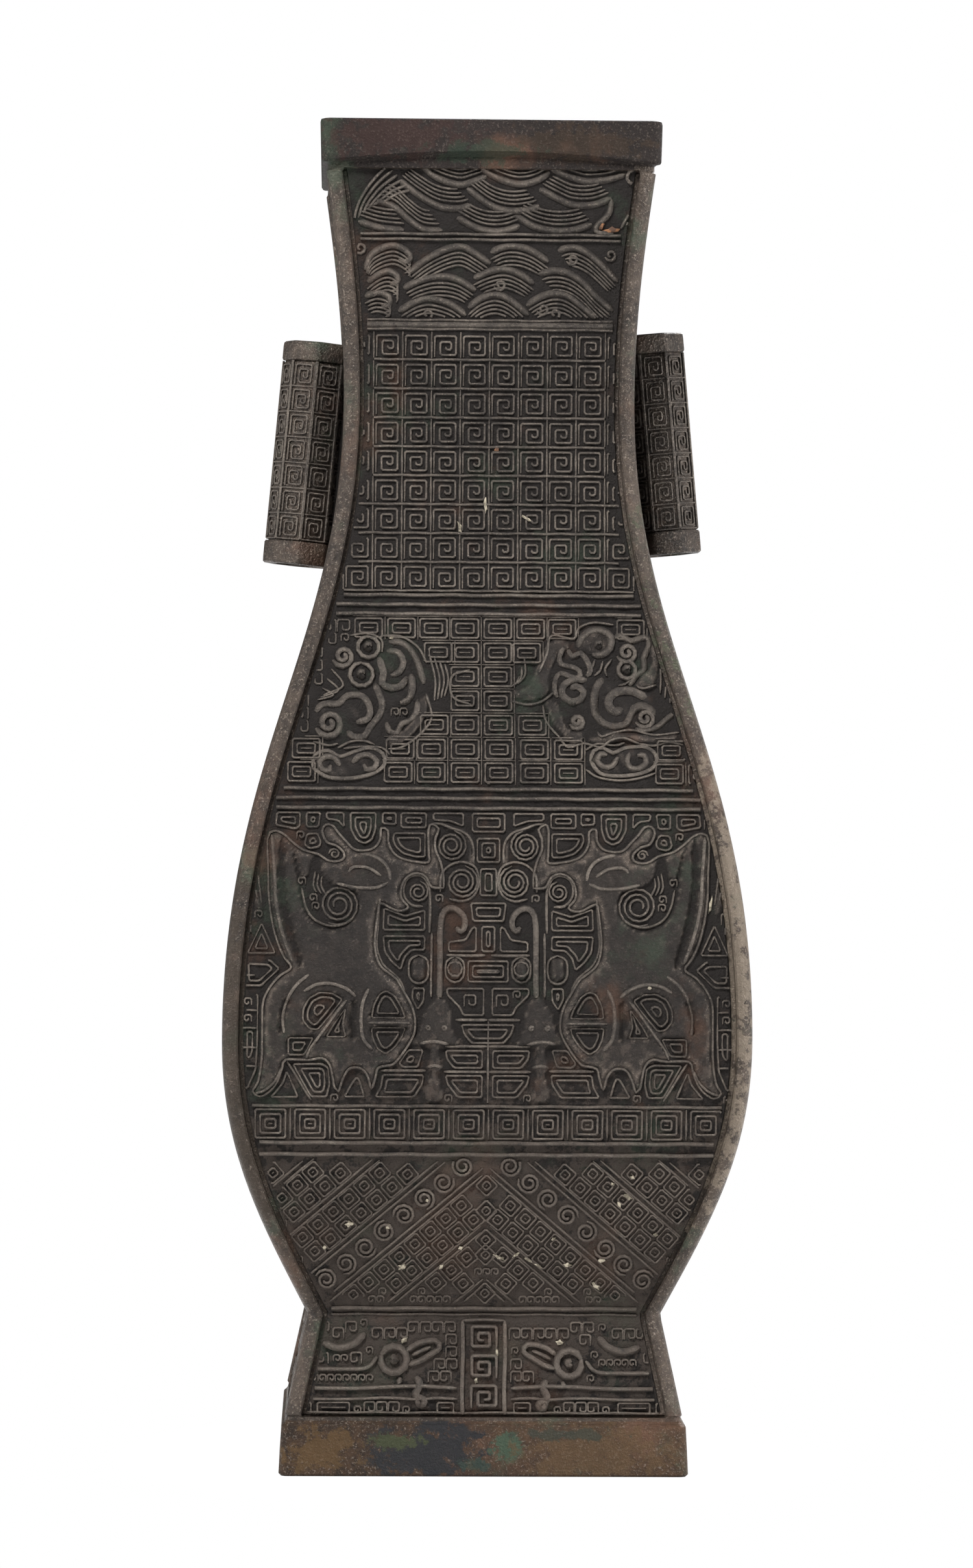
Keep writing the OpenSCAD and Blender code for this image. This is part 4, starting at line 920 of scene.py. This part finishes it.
def beasts(side):
    """A pair of beasts with plumes and coiled bodies that face the middle, with bells and frets between."""
    d = Drawing()
    for outline, rings in (
            ([(-3.6, 136.7), (3.6, 136.7), (3.6, 132.4), (-3.6, 132.4)], 3),
            ([(-2.6, 131.6), (2.6, 131.6), (2.6, 126.2), (-2.6, 126.2)], 3),
            ([(-1.9, 125.4), (1.9, 125.4), (2, 119.4), (-2, 119.4)], 2),
            ([(-3.9, 118.4), (3.9, 118.4), (3.4, 114.2), (-3.4, 114.2)], 3),
            ([(-1.6, 113.6), (1.6, 113.6), (1.6, 108), (-1.6, 108)], 2),
            ([(-4.4, 106.6), (4.4, 106.6), (4.4, 101.8), (-4.4, 101.8)], 3),
            ([(-5.8, 93.6), (5.8, 93.6), (5, 91.2), (3.4, 89.3), (-3.4, 89.3), (-5, 91.2)], 3)):
        d.cell(outline, rings)
    half = Drawing()
    for outline, rings in (
            ([(4.9, 136.7), (11.6, 136.7), (11.6, 134.8), (8, 134.6), (4.9, 133.4)], 2),
            ([(12.5, 136.7), (18.2, 136.7), (18.2, 133.2), (12.5, 133.2)], 3),
            ([(18.7, 136.7), (22, 136.7), (22, 134), (18.7, 133.8)], 2),
            ([(22.8, 136.7), (28.6, 136.7), (28.5, 133), (27.2, 130.6), (25.4, 129.8), (23.6, 130.8), (22.9, 133)], 4),
            ([(29.4, 136.7), (33.6, 136.7), (33.4, 134.9), (31, 134.6), (29.4, 133)], 2),
            ([(34.1, 136.7), (37.6, 136.7), (37.6, 133.2), (34.6, 133.2)], 2),
            ([(38.3, 136.7), (43.6, 136.7), (43.9, 133.6), (39.6, 132.8), (38.4, 133.4)], 3),
            ([(34.9, 132.5), (37.4, 132.3), (38, 129.8), (36.8, 128.7), (34.4, 129.2), (34, 130.6)], 2),
            ([(12.7, 132.6), (19.6, 132.6), (19.9, 131), (19.2, 129.3), (17.6, 127.9), (15, 127.2), (12.7, 127.2)], 3),
            (oval_top, 4), (oval_low, 4), (thigh_field, 4), (knee_field, 3), (heel_field, 3),
            ([(32.2, 84.6), (33.8, 85.5), (40.2, 85.4), (38, 81.4), (36.2, 78.2), (32.6, 78.2), (31.9, 81)], 4),
            ([(41, 84.2), (42, 81.4), (43.6, 79.4), (44.8, 78.1), (38.2, 78.1), (39.2, 80.4)], 3),
            ([(25, 79), (25.8, 82), (26.7, 83), (27.8, 81.6), (29.7, 78.2), (24.7, 78.2)], 2),
            ([(46.7, 99.6), (50.8, 99.6), (50.8, 79.8), (48.8, 79.8), (47, 84), (46.7, 90)], 2),
            ([(42.2, 104.6), (44.5, 106.6), (50.2, 106.8), (50, 100.8), (46.2, 100.8)], 3),
            ([(46.3, 114.4), (43, 107.4), (49.6, 107.4)], 3),
            ([(12.7, 117), (17, 115.7), (21.6, 117.4), (21.8, 112.3), (12.7, 112.3)], 3),
            ([(12.7, 111.6), (21.8, 111.6), (21.4, 108), (19.9, 105.9), (17.7, 104), (16.9, 106.8), (15.6, 108.2),
              (12.7, 108.3)], 3),
            ([(2.2, 113.6), (3.4, 113.4), (4.8, 110.9), (8.4, 110.4), (8.4, 108), (2.2, 108)], 3),
            ([(0.6, 101), (8.7, 101), (8.6, 99.3), (6, 96.7), (5.2, 95), (0.6, 95)], 3),
            ([(0.8, 88.3), (8.9, 88.3), (8.6, 86.2), (7, 84.2), (0.8, 84.2)], 3),
            ([(0.8, 83.2), (8.9, 83.2), (8.4, 81), (6.2, 78.2), (0.8, 78.2)], 3),
            ([(12.8, 88.4), (16.4, 88.4), (18.5, 85.4), (17.4, 84.3), (14, 84.4)], 3),
            ([(12.7, 83.3), (21.6, 83.3), (22, 80.6), (23.4, 78.2), (14.8, 78.2), (13, 81)], 3),
            ([(12.7, 101), (15.6, 101), (15.8, 98.6), (14.4, 95.8), (12.9, 98)], 2)):
        half.cell(outline, rings)
    half.spiral(7.6, 129.8, 3.2, 2.7, 100, w=0.5)
    half.curve([(3.1, 126.4), (3.1, 129), (3.6, 131), (5.1, 132.6), (7.5, 133.4), (9.6, 134.2), (11.6, 134.3)], 0.5)
    half.spiral(5.4, 122.4, 3.4, 2.8, 100, w=0.5)
    half.curve([(9.9, 120.4), (9.6, 124), (7.6, 126), (5, 126.5), (2.7, 125.4), (1.9, 122.5), (3, 119.6),
                (5.4, 118.5), (8, 119)], 0.5)
    half.spiral(30.6, 117.6, 4.2, 2.9, 300, -1, w=0.5)
    half.curve([(27.4, 115), (29, 113.9), (31.4, 113.3), (33.8, 113.7), (36, 115), (37.4, 117.4), (38.2, 121)], 0.5)
    for k in range(3):
        half.curve([(33.2 + k, 119.6 + k * 0.3), (34.2 + k * 0.8, 121.6), (34 + k * 0.7, 123.4 + k * 0.5)], 0.45)
    half.spiral(31.5, 128, 1.2, 1.4, 0, w=0.5, up=0.35)
    for w, up, points in (
            (0.75, 0.35, [(20.1, 122.8), (20.5, 124.8), (21.8, 126.6), (23.8, 127.6), (26, 128)]),
            (0.7, 0.35, [(22, 123.6), (24.6, 125.2), (27.6, 125.4), (28.6, 124.4)]),
            (0.7, 0.35, [(20.6, 122.2), (23, 121.2), (27, 121.2), (31, 122)]),
            (0.55, 0.3, [(22.2, 119), (22.6, 113), (22.8, 109), (21.6, 105.7), (19.8, 104), (18.1, 102.4), (17, 100)]),
            (0.6, 0.4, [(12, 112), (11.9, 117), (12.1, 121), (13.2, 123.3), (15, 123.8), (16.7, 123), (17.4, 121),
                        (17, 119), (15.6, 117.6), (13.4, 117.4)])):
        half.curve(points, w, up)
    half.spiral(14.4, 120.4, 2.2, 2.1, 100, w=0.45)
    half.curve([(9.9, 98.8), (9.8, 104), (9.8, 112), (9.4, 115.6), (8.2, 117), (6.6, 116.8), (5.1, 115.4),
                (4.8, 113.6), (5.6, 112.4), (6.6, 113.2)], 1.25, 0.75)
    half.curve([(11.6, 99), (11.6, 104), (11.5, 112)], 0.55, 0.5)
    half.spiral(6.8, 104.7, 1.5, 1.0, 90, w=0.5, inner=0.98)
    for x, z, a, b in ((6.8, 104.6, 1.7, 2.6), (14.2, 104.6, 1.8, 2.9)):
        half.curve([(x, z + b), (x + a, z + b * 0.6), (x + a, z - b * 0.6), (x, z - b), (x - a, z - b * 0.6),
                    (x - a, z + b * 0.6), (x, z + b)], 0.5)
    for w, up, points in (
            (0.6, 0.45, [(0.6, 107.5), (4, 107.4), (8.5, 107.5)]),
            (0.6, 0.45, [(0.1, 94.3), (3, 94.3), (6.6, 94.3)]),
            (0.6, 0.45, [(0.1, 88.9), (4, 88.9), (8.7, 88.9)]),
            (0.6, 0.45, [(0.1, 83.7), (4, 83.7), (8.9, 83.7)]),
            (0.6, 0.45, [(12.6, 83.9), (17, 83.9), (21.8, 83.9)])):
        half.curve(points, w, up)
    for x, z in ((8.9, 92.6), (12.2, 92.6)):
        half.spiral(x, z, 0.5, 1.1, 0, w=0.7, up=0.25)
    for w, up, points in (
            (0.75, 0.35, [(8, 89.4), (11, 89.9), (14, 89.5)]),
            (0.75, 0.35, [(9.3, 84.6), (10.9, 85), (12.4, 84.6)]),
            (0.5, 0.5, [(16, 93.65), (20, 93.7), (24.4, 93.65)]),
            (0.55, 0.5, [(28.9, 98.2), (31, 95.6), (33, 92.8), (34.6, 90.6), (36.4, 88), (37, 86.4)]),
            (0.5, 0.45, [(40.9, 85.6), (39.2, 83), (37.4, 80), (36, 77.8)]),
            (0.7, 0.35, [(36.6, 103.4), (39, 101.4), (40.8, 98.6), (41.8, 95), (41.6, 91.4)]),
            (0.75, 0.35, [(23.6, 88.2), (25.4, 90.4), (25.9, 94), (25.6, 97.6), (24.4, 100.6)]),
            (0.5, 0.4, [(41.9, 84.6), (43.4, 81.6), (45.4, 79.8), (47.6, 79)]),
            (0.4, 0.45, [(47.6, 103.2), (49.8, 103), (50, 101.2)])):
        half.curve(points, w, up)
    for z in (96, 92.4, 88.4, 84.6):
        half.curve([(47, z), (48.6, z + 0.1), (50.6, z)], 0.4)
    for k in range(2):
        half.curve([(46.2 + k * 1.2, 131.6 - k * 1.4), (47.1 + k * 1.1, 125), (46.4 + k * 0.9, 118 + k)], 0.45, 0.3)
    half.curve([(44.4, 131.8), (43.8, 124), (43.4, 117.6), (42, 111.4), (40, 106)], 0.75, 0.35)
    half.curve([(27, 99), (29, 100.6), (32, 101.6), (35, 101.4), (37.6, 100)], 0.75, 0.35)
    half.curve(beast_body + beast_body[:1], 0.5, 0.6)
    half.mirror()
    d.lines += half.lines
    d.sharp([(0.1, 94), (0.1, 84), (0.1, 77.4)], 0.5)
    for hook_size in (2.6, 1.7):
        d.fill((-51, 51, 77.4, 136.8), hook_size)
    return ridge_chains(d, side, 77.1, 136.9)


def squares(side):
    """A row of nested squares between upright bars."""
    d = Drawing()
    pitch = 8.1
    for k in range(-7, 7):
        x = (k + 0.5) * pitch + 0.3
        d.nest(x, 72.9, 6.2, 5.9, 3, 1.0, line=0.5)
        d.sharp([(x + pitch / 2, 69.8), (x + pitch / 2, 72), (x + pitch / 2, 76.1)], 0.5)
    return ridge_chains(d, side, 69.6, 76.3, squeeze=False)


def lozenges(side):
    """Slanting double lines with a row of coils between them, and rows of small squares set on their corners."""
    half = Drawing()
    run, out = np.array([0.757, -0.653]), np.array([0.653, 0.757])
    start = np.array([8.0, 61.5])
    for gap in (-39.6, -31.6, -30.5, -22.1, -21.0, -13.1, -12.0, -4.1, -3.0, 3.0, 4.1, 12.0, 13.1, 21.0, 22.1, 30.2):
        line = [start + run * t + out * gap for t in np.arange(-34, 60, 1.0)]
        line = [q for q in line if q[0] > 0.25 and 35 < q[1] < 65.7]
        if len(line) > 4:
            half.curve(line[::4] + line[-1:], 0.48, 0.42, 3)
    for k in range(9):
        x, z = start + run * (5.25 * k - 4.2)
        half.spiral(x, z, 2.3, 1.9, 60 + 97 * k, 1 if k % 2 else -1, 0.62, 0.55)
    for gap in (-35.6, -28.4, -24.3, -19.0, -15.2, -10.0, -6.1, 6.1, 10.0, 15.2, 19.0, 24.2, 28.2):
        for t in np.arange(-36, 60, 4.15):
            x, z = start + run * (t + (2.0 if int(abs(gap)) % 2 else 0)) + out * gap
            if x > 2.2 and 37 < z < 64 and x < half_w(z) - 5.5:
                half.nest(x, z, 3.35, 3.35, 2, 0.85, turn=-40.8, line=0.4)
    half.mirror()
    d = Drawing()
    d.lines = half.lines
    for z in (60.2, 54.9, 48.8, 45.6, 37.4):
        d.nest(0.1, z, 3.2, 3.2, 2, 0.85, turn=45, line=0.4)
    d.fill((-46, 46, 35.2, 65.6), 1.7, up=0.32)
    return ridge_chains(d, side, 34.9, 65.8)


def masks(side):
    """A mask in bars and knobs on the foot, on both sides of a middle column, on a ground of small hooks."""
    d = Drawing()
    for x in (-4.4, 4.3):
        d.curve([(x, 12.6), (x - 0.1, 18), (x + 0.1, 25), (x, 31.6)], 0.9, 0.85)
    d.curve([(-4.4, 31.6), (0, 31.8), (4.3, 31.6)], 0.6, 0.7)
    for z, hand in ((28.2, -1), (22.3, -1), (16.2, 1)):
        d.sharp([(hand * u, z + v) for u, v in ((-2.6, -2.3), (-2.6, 2.2), (2.5, 2.2), (2.5, -1.8), (-1.2, -1.8),
                 (-1.2, 0.9), (1.2, 0.9), (1.2, -0.6), (0, -0.6))], 0.75, 0.85)
    for hand, eye in ((-1, (18.6, 23.6)), (1, (17.6, 22.9))):
        half = Drawing()
        x, z = eye
        half.spiral(x, z, 2.7, 1.0, 20, 1, 1.5, 1.0, inner=0.99)
        half.spiral(x, z, 0.5, 1.0, 20, 1, 1.5, 1.0, inner=0.3)
        half.curve([(x - 2.6, z + 1.8), (x - 5.2, z + 3.4), (x - 8.6, z + 3.9), (x - 9.4, z + 2.4), (x - 7.4, z + 1.0),
                    (x - 5.4, z - 0.2), (x - 3, z - 1)], 1.1, 0.95)
        half.curve([(x - 7.6, z + 2.6), (x - 5.6, z + 1.8), (x - 3.8, z + 0.9)], 0.8, 0.7)
        half.curve([(x + 6, z + 5.4), (x + 8.2, z + 3.2), (x + 11.6, z + 2.4), (x + 14.6, z + 3.4)], 1.5, 1.0)
        half.curve([(x + 3.4, z + 0.6), (x + 5.6, z - 1.6), (x + 11, z - 1.9), (x + 19, z - 1.8)], 0.8, 0.85)
        half.curve([(5.6, 17.9), (9.4, 18.1), (12.8, 18.3), (18, 18.2), (27, 17.8), (39, 17.9)], 0.8, 0.85)
        half.curve([(5.6, 15.7), (9.6, 15.9), (13.4, 15.6), (20, 15.9), (29, 15.6), (40, 15.7)], 0.6, 0.75)
        half.curve([(x - 4.6, z - 3.4), (x - 5.4, z - 5), (x - 4.6, z - 6.6), (x - 4.9, z - 8.4)], 1.6, 1.0)
        half.spiral(x - 5.6, z - 8.6, 1.0, 1.2, 0, 1, 1.5, 1.0, inner=0.3)
        half.curve([(x - 1.4, z - 3.6), (x - 1, z - 5)], 1.1, 0.85)
        for x0, w in ((7.9, 3.4), (31.0, 6.6), (37.8, 4.4)):
            half.nest(x0, 13.9, w, 2.1, 1)
        d.lines += [(q * np.array([hand, 1]), w, up) for q, w, up in half.lines]
    d.fill((-42, 42, 12.7, 32.6), 2.5, w=0.45, up=0.5)
    d.fill((-42, 42, 12.7, 32.6), 1.6, w=0.42, up=0.45)
    return ridge_chains(d, side, 12.5, 33.0)


for side in sides:
    for name, chains in (("neck_relief_", neck_frets(side) + waves(side) + bars(side)),
                         ("belly_relief_", roundels(side) + beasts(side)),
                         ("foot_relief_", squares(side) + lozenges(side) + masks(side))):
        finish_piece(sweep_piece(name + side.name, chains, ridge_bronze,
                                 lambda q: np.array([math.sin(side.turn), -math.cos(side.turn), 0])))

# Crumbs of pale mineral crust, and one rust-red one, that stuck to the ridges in the ground.
# Each is a small uneven cap, given by its place on the front, its half lengths and its turn.
crumb_ribs = 9
crust = bpy.data.materials.new("pale_crust")
crust.use_nodes = True
tree = crust.node_tree
crust_mask = ramp(tree, noise(tree, node(tree, "ShaderNodeTexCoord").outputs["Object"], 900, 4), 0.4, 0.6)
feed(tree, tree.nodes["Principled BSDF"], in_Roughness=0.9,
     in_Base_Color=mix(tree, crust_mask, (0.1, 0.085, 0.06, 1), (0.33, 0.29, 0.22, 1)))
rust = crust.copy()
rust.name = "rust_red_crust"
feed(rust.node_tree, next(n for n in rust.node_tree.nodes if n.type == "MIX"),
     in_6=(0.06, 0.03, 0.017, 1), in_7=(0.2, 0.09, 0.038, 1))
for name, material, crumbs in (
        ("pale_crumbs", crust, (
            (-28, 52, 0.8, 0.6, 20), (-20, 51.5, 0.6, 0.5, 60), (-17, 43, 1.0, 0.6, 30), (-5, 47, 0.5, 0.4, 0),
            (-9, 43, 0.7, 0.4, 50), (3, 45, 1.3, 0.35, 155), (9, 44.5, 1.0, 0.3, 150), (11, 43.3, 1.2, 0.3, 145),
            (6.4, 45.6, 0.9, 0.3, 30), (17, 43.5, 0.8, 0.5, 0), (23, 39, 1.0, 0.5, 140), (24, 44.5, 0.8, 0.5, 20),
            (29, 58, 1.1, 0.5, 150), (27.4, 56.4, 0.7, 0.4, 100), (35, 50, 0.5, 0.4, 0), (30, 62, 0.5, 0.4, 0),
            (-33, 47, 0.5, 0.4, 60), (26, 60.6, 0.5, 0.35, 0), (-12, 57, 0.4, 0.35, 0), (14, 49, 0.45, 0.3, 40),
            (-0.7, 200.4, 1.5, 0.35, 95), (7.8, 197.7, 1.2, 0.3, 150), (-6, 195.7, 1.3, 0.35, 100),
            (-16.4, 27.6, 0.8, 0.5, 40), (15.6, 27.2, 0.7, 0.5, 0), (-1.6, 19.4, 0.6, 0.35, 90),
            (2.7, 25, 1.2, 0.3, 92), (-20, 172.6, 0.5, 0.4, 0), (33, 101, 0.4, 0.35, 0), (45.5, 118, 1.6, 0.3, 80))),
        ("red_crumbs", rust, ((25, 257.6, 1.5, 0.6, 10), (23, 258.4, 0.8, 0.4, 60), (1.6, 212, 0.5, 0.5, 0)))):
    points, faces = [], []
    for k, (x, z, long, short, turn) in enumerate(crumbs):
        c, s = math.cos(math.radians(turn)), math.sin(math.radians(turn))
        faces += stack_faces(3, crumb_ribs, len(points))
        base = float(lift_at(np.array(float(x)), np.array(float(z))))
        for level, reach in ((-0.3, 1.1), (0.3, 1.0), (0.5, 0.55)):
            for j in range(crumb_ribs):
                a = 2 * math.pi * j / crumb_ribs
                q = reach * (1 + 0.28 * math.sin(3.3 * j + 5 * k + reach))
                u, v = long * q * math.cos(a), short * q * math.sin(a)
                points.append(sides[0].place(x + c * u - s * v, z + s * u + c * v, min(base + level, highest)))
    finish_piece(add_piece(name, points, faces, material, 80))

# The tube handles: an open eight-sided tube on each side of the neck, with plain bands at its ends
# and square spirals on its sunk facets, cast on with a seat behind it.
tube_flats, tube_bore, tube_sunk, tube_tilt = 14.2, 5.0, 1.0, math.radians(5.2)
low_band, high_band, hook_rows, bore_ribs, corner_turn = 5.2, 4.2, 7, 24, 0.055
eighth = math.cos(math.pi / 8)
square_hook = [(-2.1, -2.2), (-2.1, 1.9), (1.9, 1.9), (1.9, -1.9), (-1.15, -1.9), (-1.15, 0.9), (1.0, 0.9),
               (1.0, -0.9), (-0.1, -0.9), (-0.1, 0)]
seat_half_w, seat_half_d, seat_half_h, seat_inward = 2.6, 3.0, 18.5, 7.4


def put(matrix, points):
    m = np.array(matrix)
    return np.asarray(points) @ m[:3, :3].T + m[:3, 3]


def eight(flats, z):
    """Eight sides with a small rounding at each corner."""
    r = flats / 2 / eighth
    beside = eighth / math.cos(math.pi / 8 - corner_turn)
    loop = []
    for k in range(8):
        for turn, q in ((-corner_turn, beside), (0.0, 0.985), (corner_turn, beside)):
            a = math.radians(45 * k) + turn
            loop.append((r * q * math.cos(a), r * q * math.sin(a), z))
    return loop


for name, hand, x, z, turn, tube_length in (("left", -1, 37.5, 211.9, 0, 47.0), ("right", 1, 36.5, 214.5, 22.5, 46.6)):
    seat = Matrix.Translation(Vector((hand * x, 0, z))) @ Matrix.Rotation(-hand * tube_tilt, 4, "Y")
    place = seat @ Matrix.Rotation(math.radians(turn), 4, "Z")
    low, high, sunk = -tube_length / 2, tube_length / 2, tube_flats - tube_sunk
    loops = [eight(flats, level) for flats, level in (
        (tube_flats - 0.7, low), (tube_flats - 0.1, low + 0.3), (tube_flats, low + 1.2), (tube_flats, low + 4.4),
        (tube_flats - 0.4, low + 4.75), (sunk - 0.5, low + 4.8), (sunk, low + 5.4), (sunk, high - 4.6),
        (sunk - 0.5, high - 4.1), (tube_flats - 0.4, high - 4.0), (tube_flats, high - 3.6), (tube_flats, high - 1.0),
        (tube_flats - 0.15, high - 0.3), (tube_flats - 0.8, high))]
    for r, level in ((tube_bore + 0.5, high), (tube_bore + 0.1, high - 0.4), (tube_bore, high - 1.5), (tube_bore, 0),
                     (tube_bore, low + 1.5), (tube_bore + 0.1, low + 0.4), (tube_bore + 0.5, low)):
        turns = [math.radians(360 / bore_ribs * k) - corner_turn for k in range(bore_ribs)]
        loops.append([(r * math.cos(a), r * math.sin(a), level) for a in turns])
    finish_piece(add_piece("tube_" + name, put(place, [p for loop in loops for p in loop]),
                           stack_faces(len(loops), bore_ribs, closed=True), strip_bronze))
    corners = [(-hand * seat_inward + u * seat_half_w, v * seat_half_d, w * seat_half_h)
               for w in (-1, 1) for u, v in ((-1, -1), (1, -1), (1, 1), (-1, 1))]
    finish_piece(add_piece("tube_seat_" + name, put(seat, corners), stack_faces(2, 4), ground_bronze))
    chains = []
    for facet in range(8):
        a = math.radians(45 * facet + 22.5)
        column = Drawing()
        pitch = (tube_length - low_band - high_band) / hook_rows
        for row in range(hook_rows):
            base = low + low_band + pitch * row
            column.sharp([(u * 0.9, base + pitch / 2 + v) for u, v in square_hook], 0.44)
            column.sharp([(-2.6, base), (0, base), (2.6, base)], 0.4, 0.35)
        for u in (-2.65, 2.65):
            column.sharp([(u, low + low_band), (u, 0), (u, high - high_band)], 0.5, 0.42)
        for points, w, up in column.lines:
            out = sunk / 2 + up * 0.9 - w * 0.5
            spots = np.stack([out * math.cos(a) - points[:, 0] * math.sin(a),
                              out * math.sin(a) + points[:, 0] * math.cos(a), points[:, 1]], axis=-1)
            chains.append(np.concatenate([put(place, spots), np.full((len(points), 1), w * 5)], axis=1))
    axis = np.array([hand * x, 0, 0])
    finish_piece(sweep_piece("tube_relief_" + name, chains, ridge_bronze, lambda q: (
        (q - axis) * np.array([1, 1, 0]) / np.linalg.norm((q - axis)[:, :2], axis=1)[:, None])))
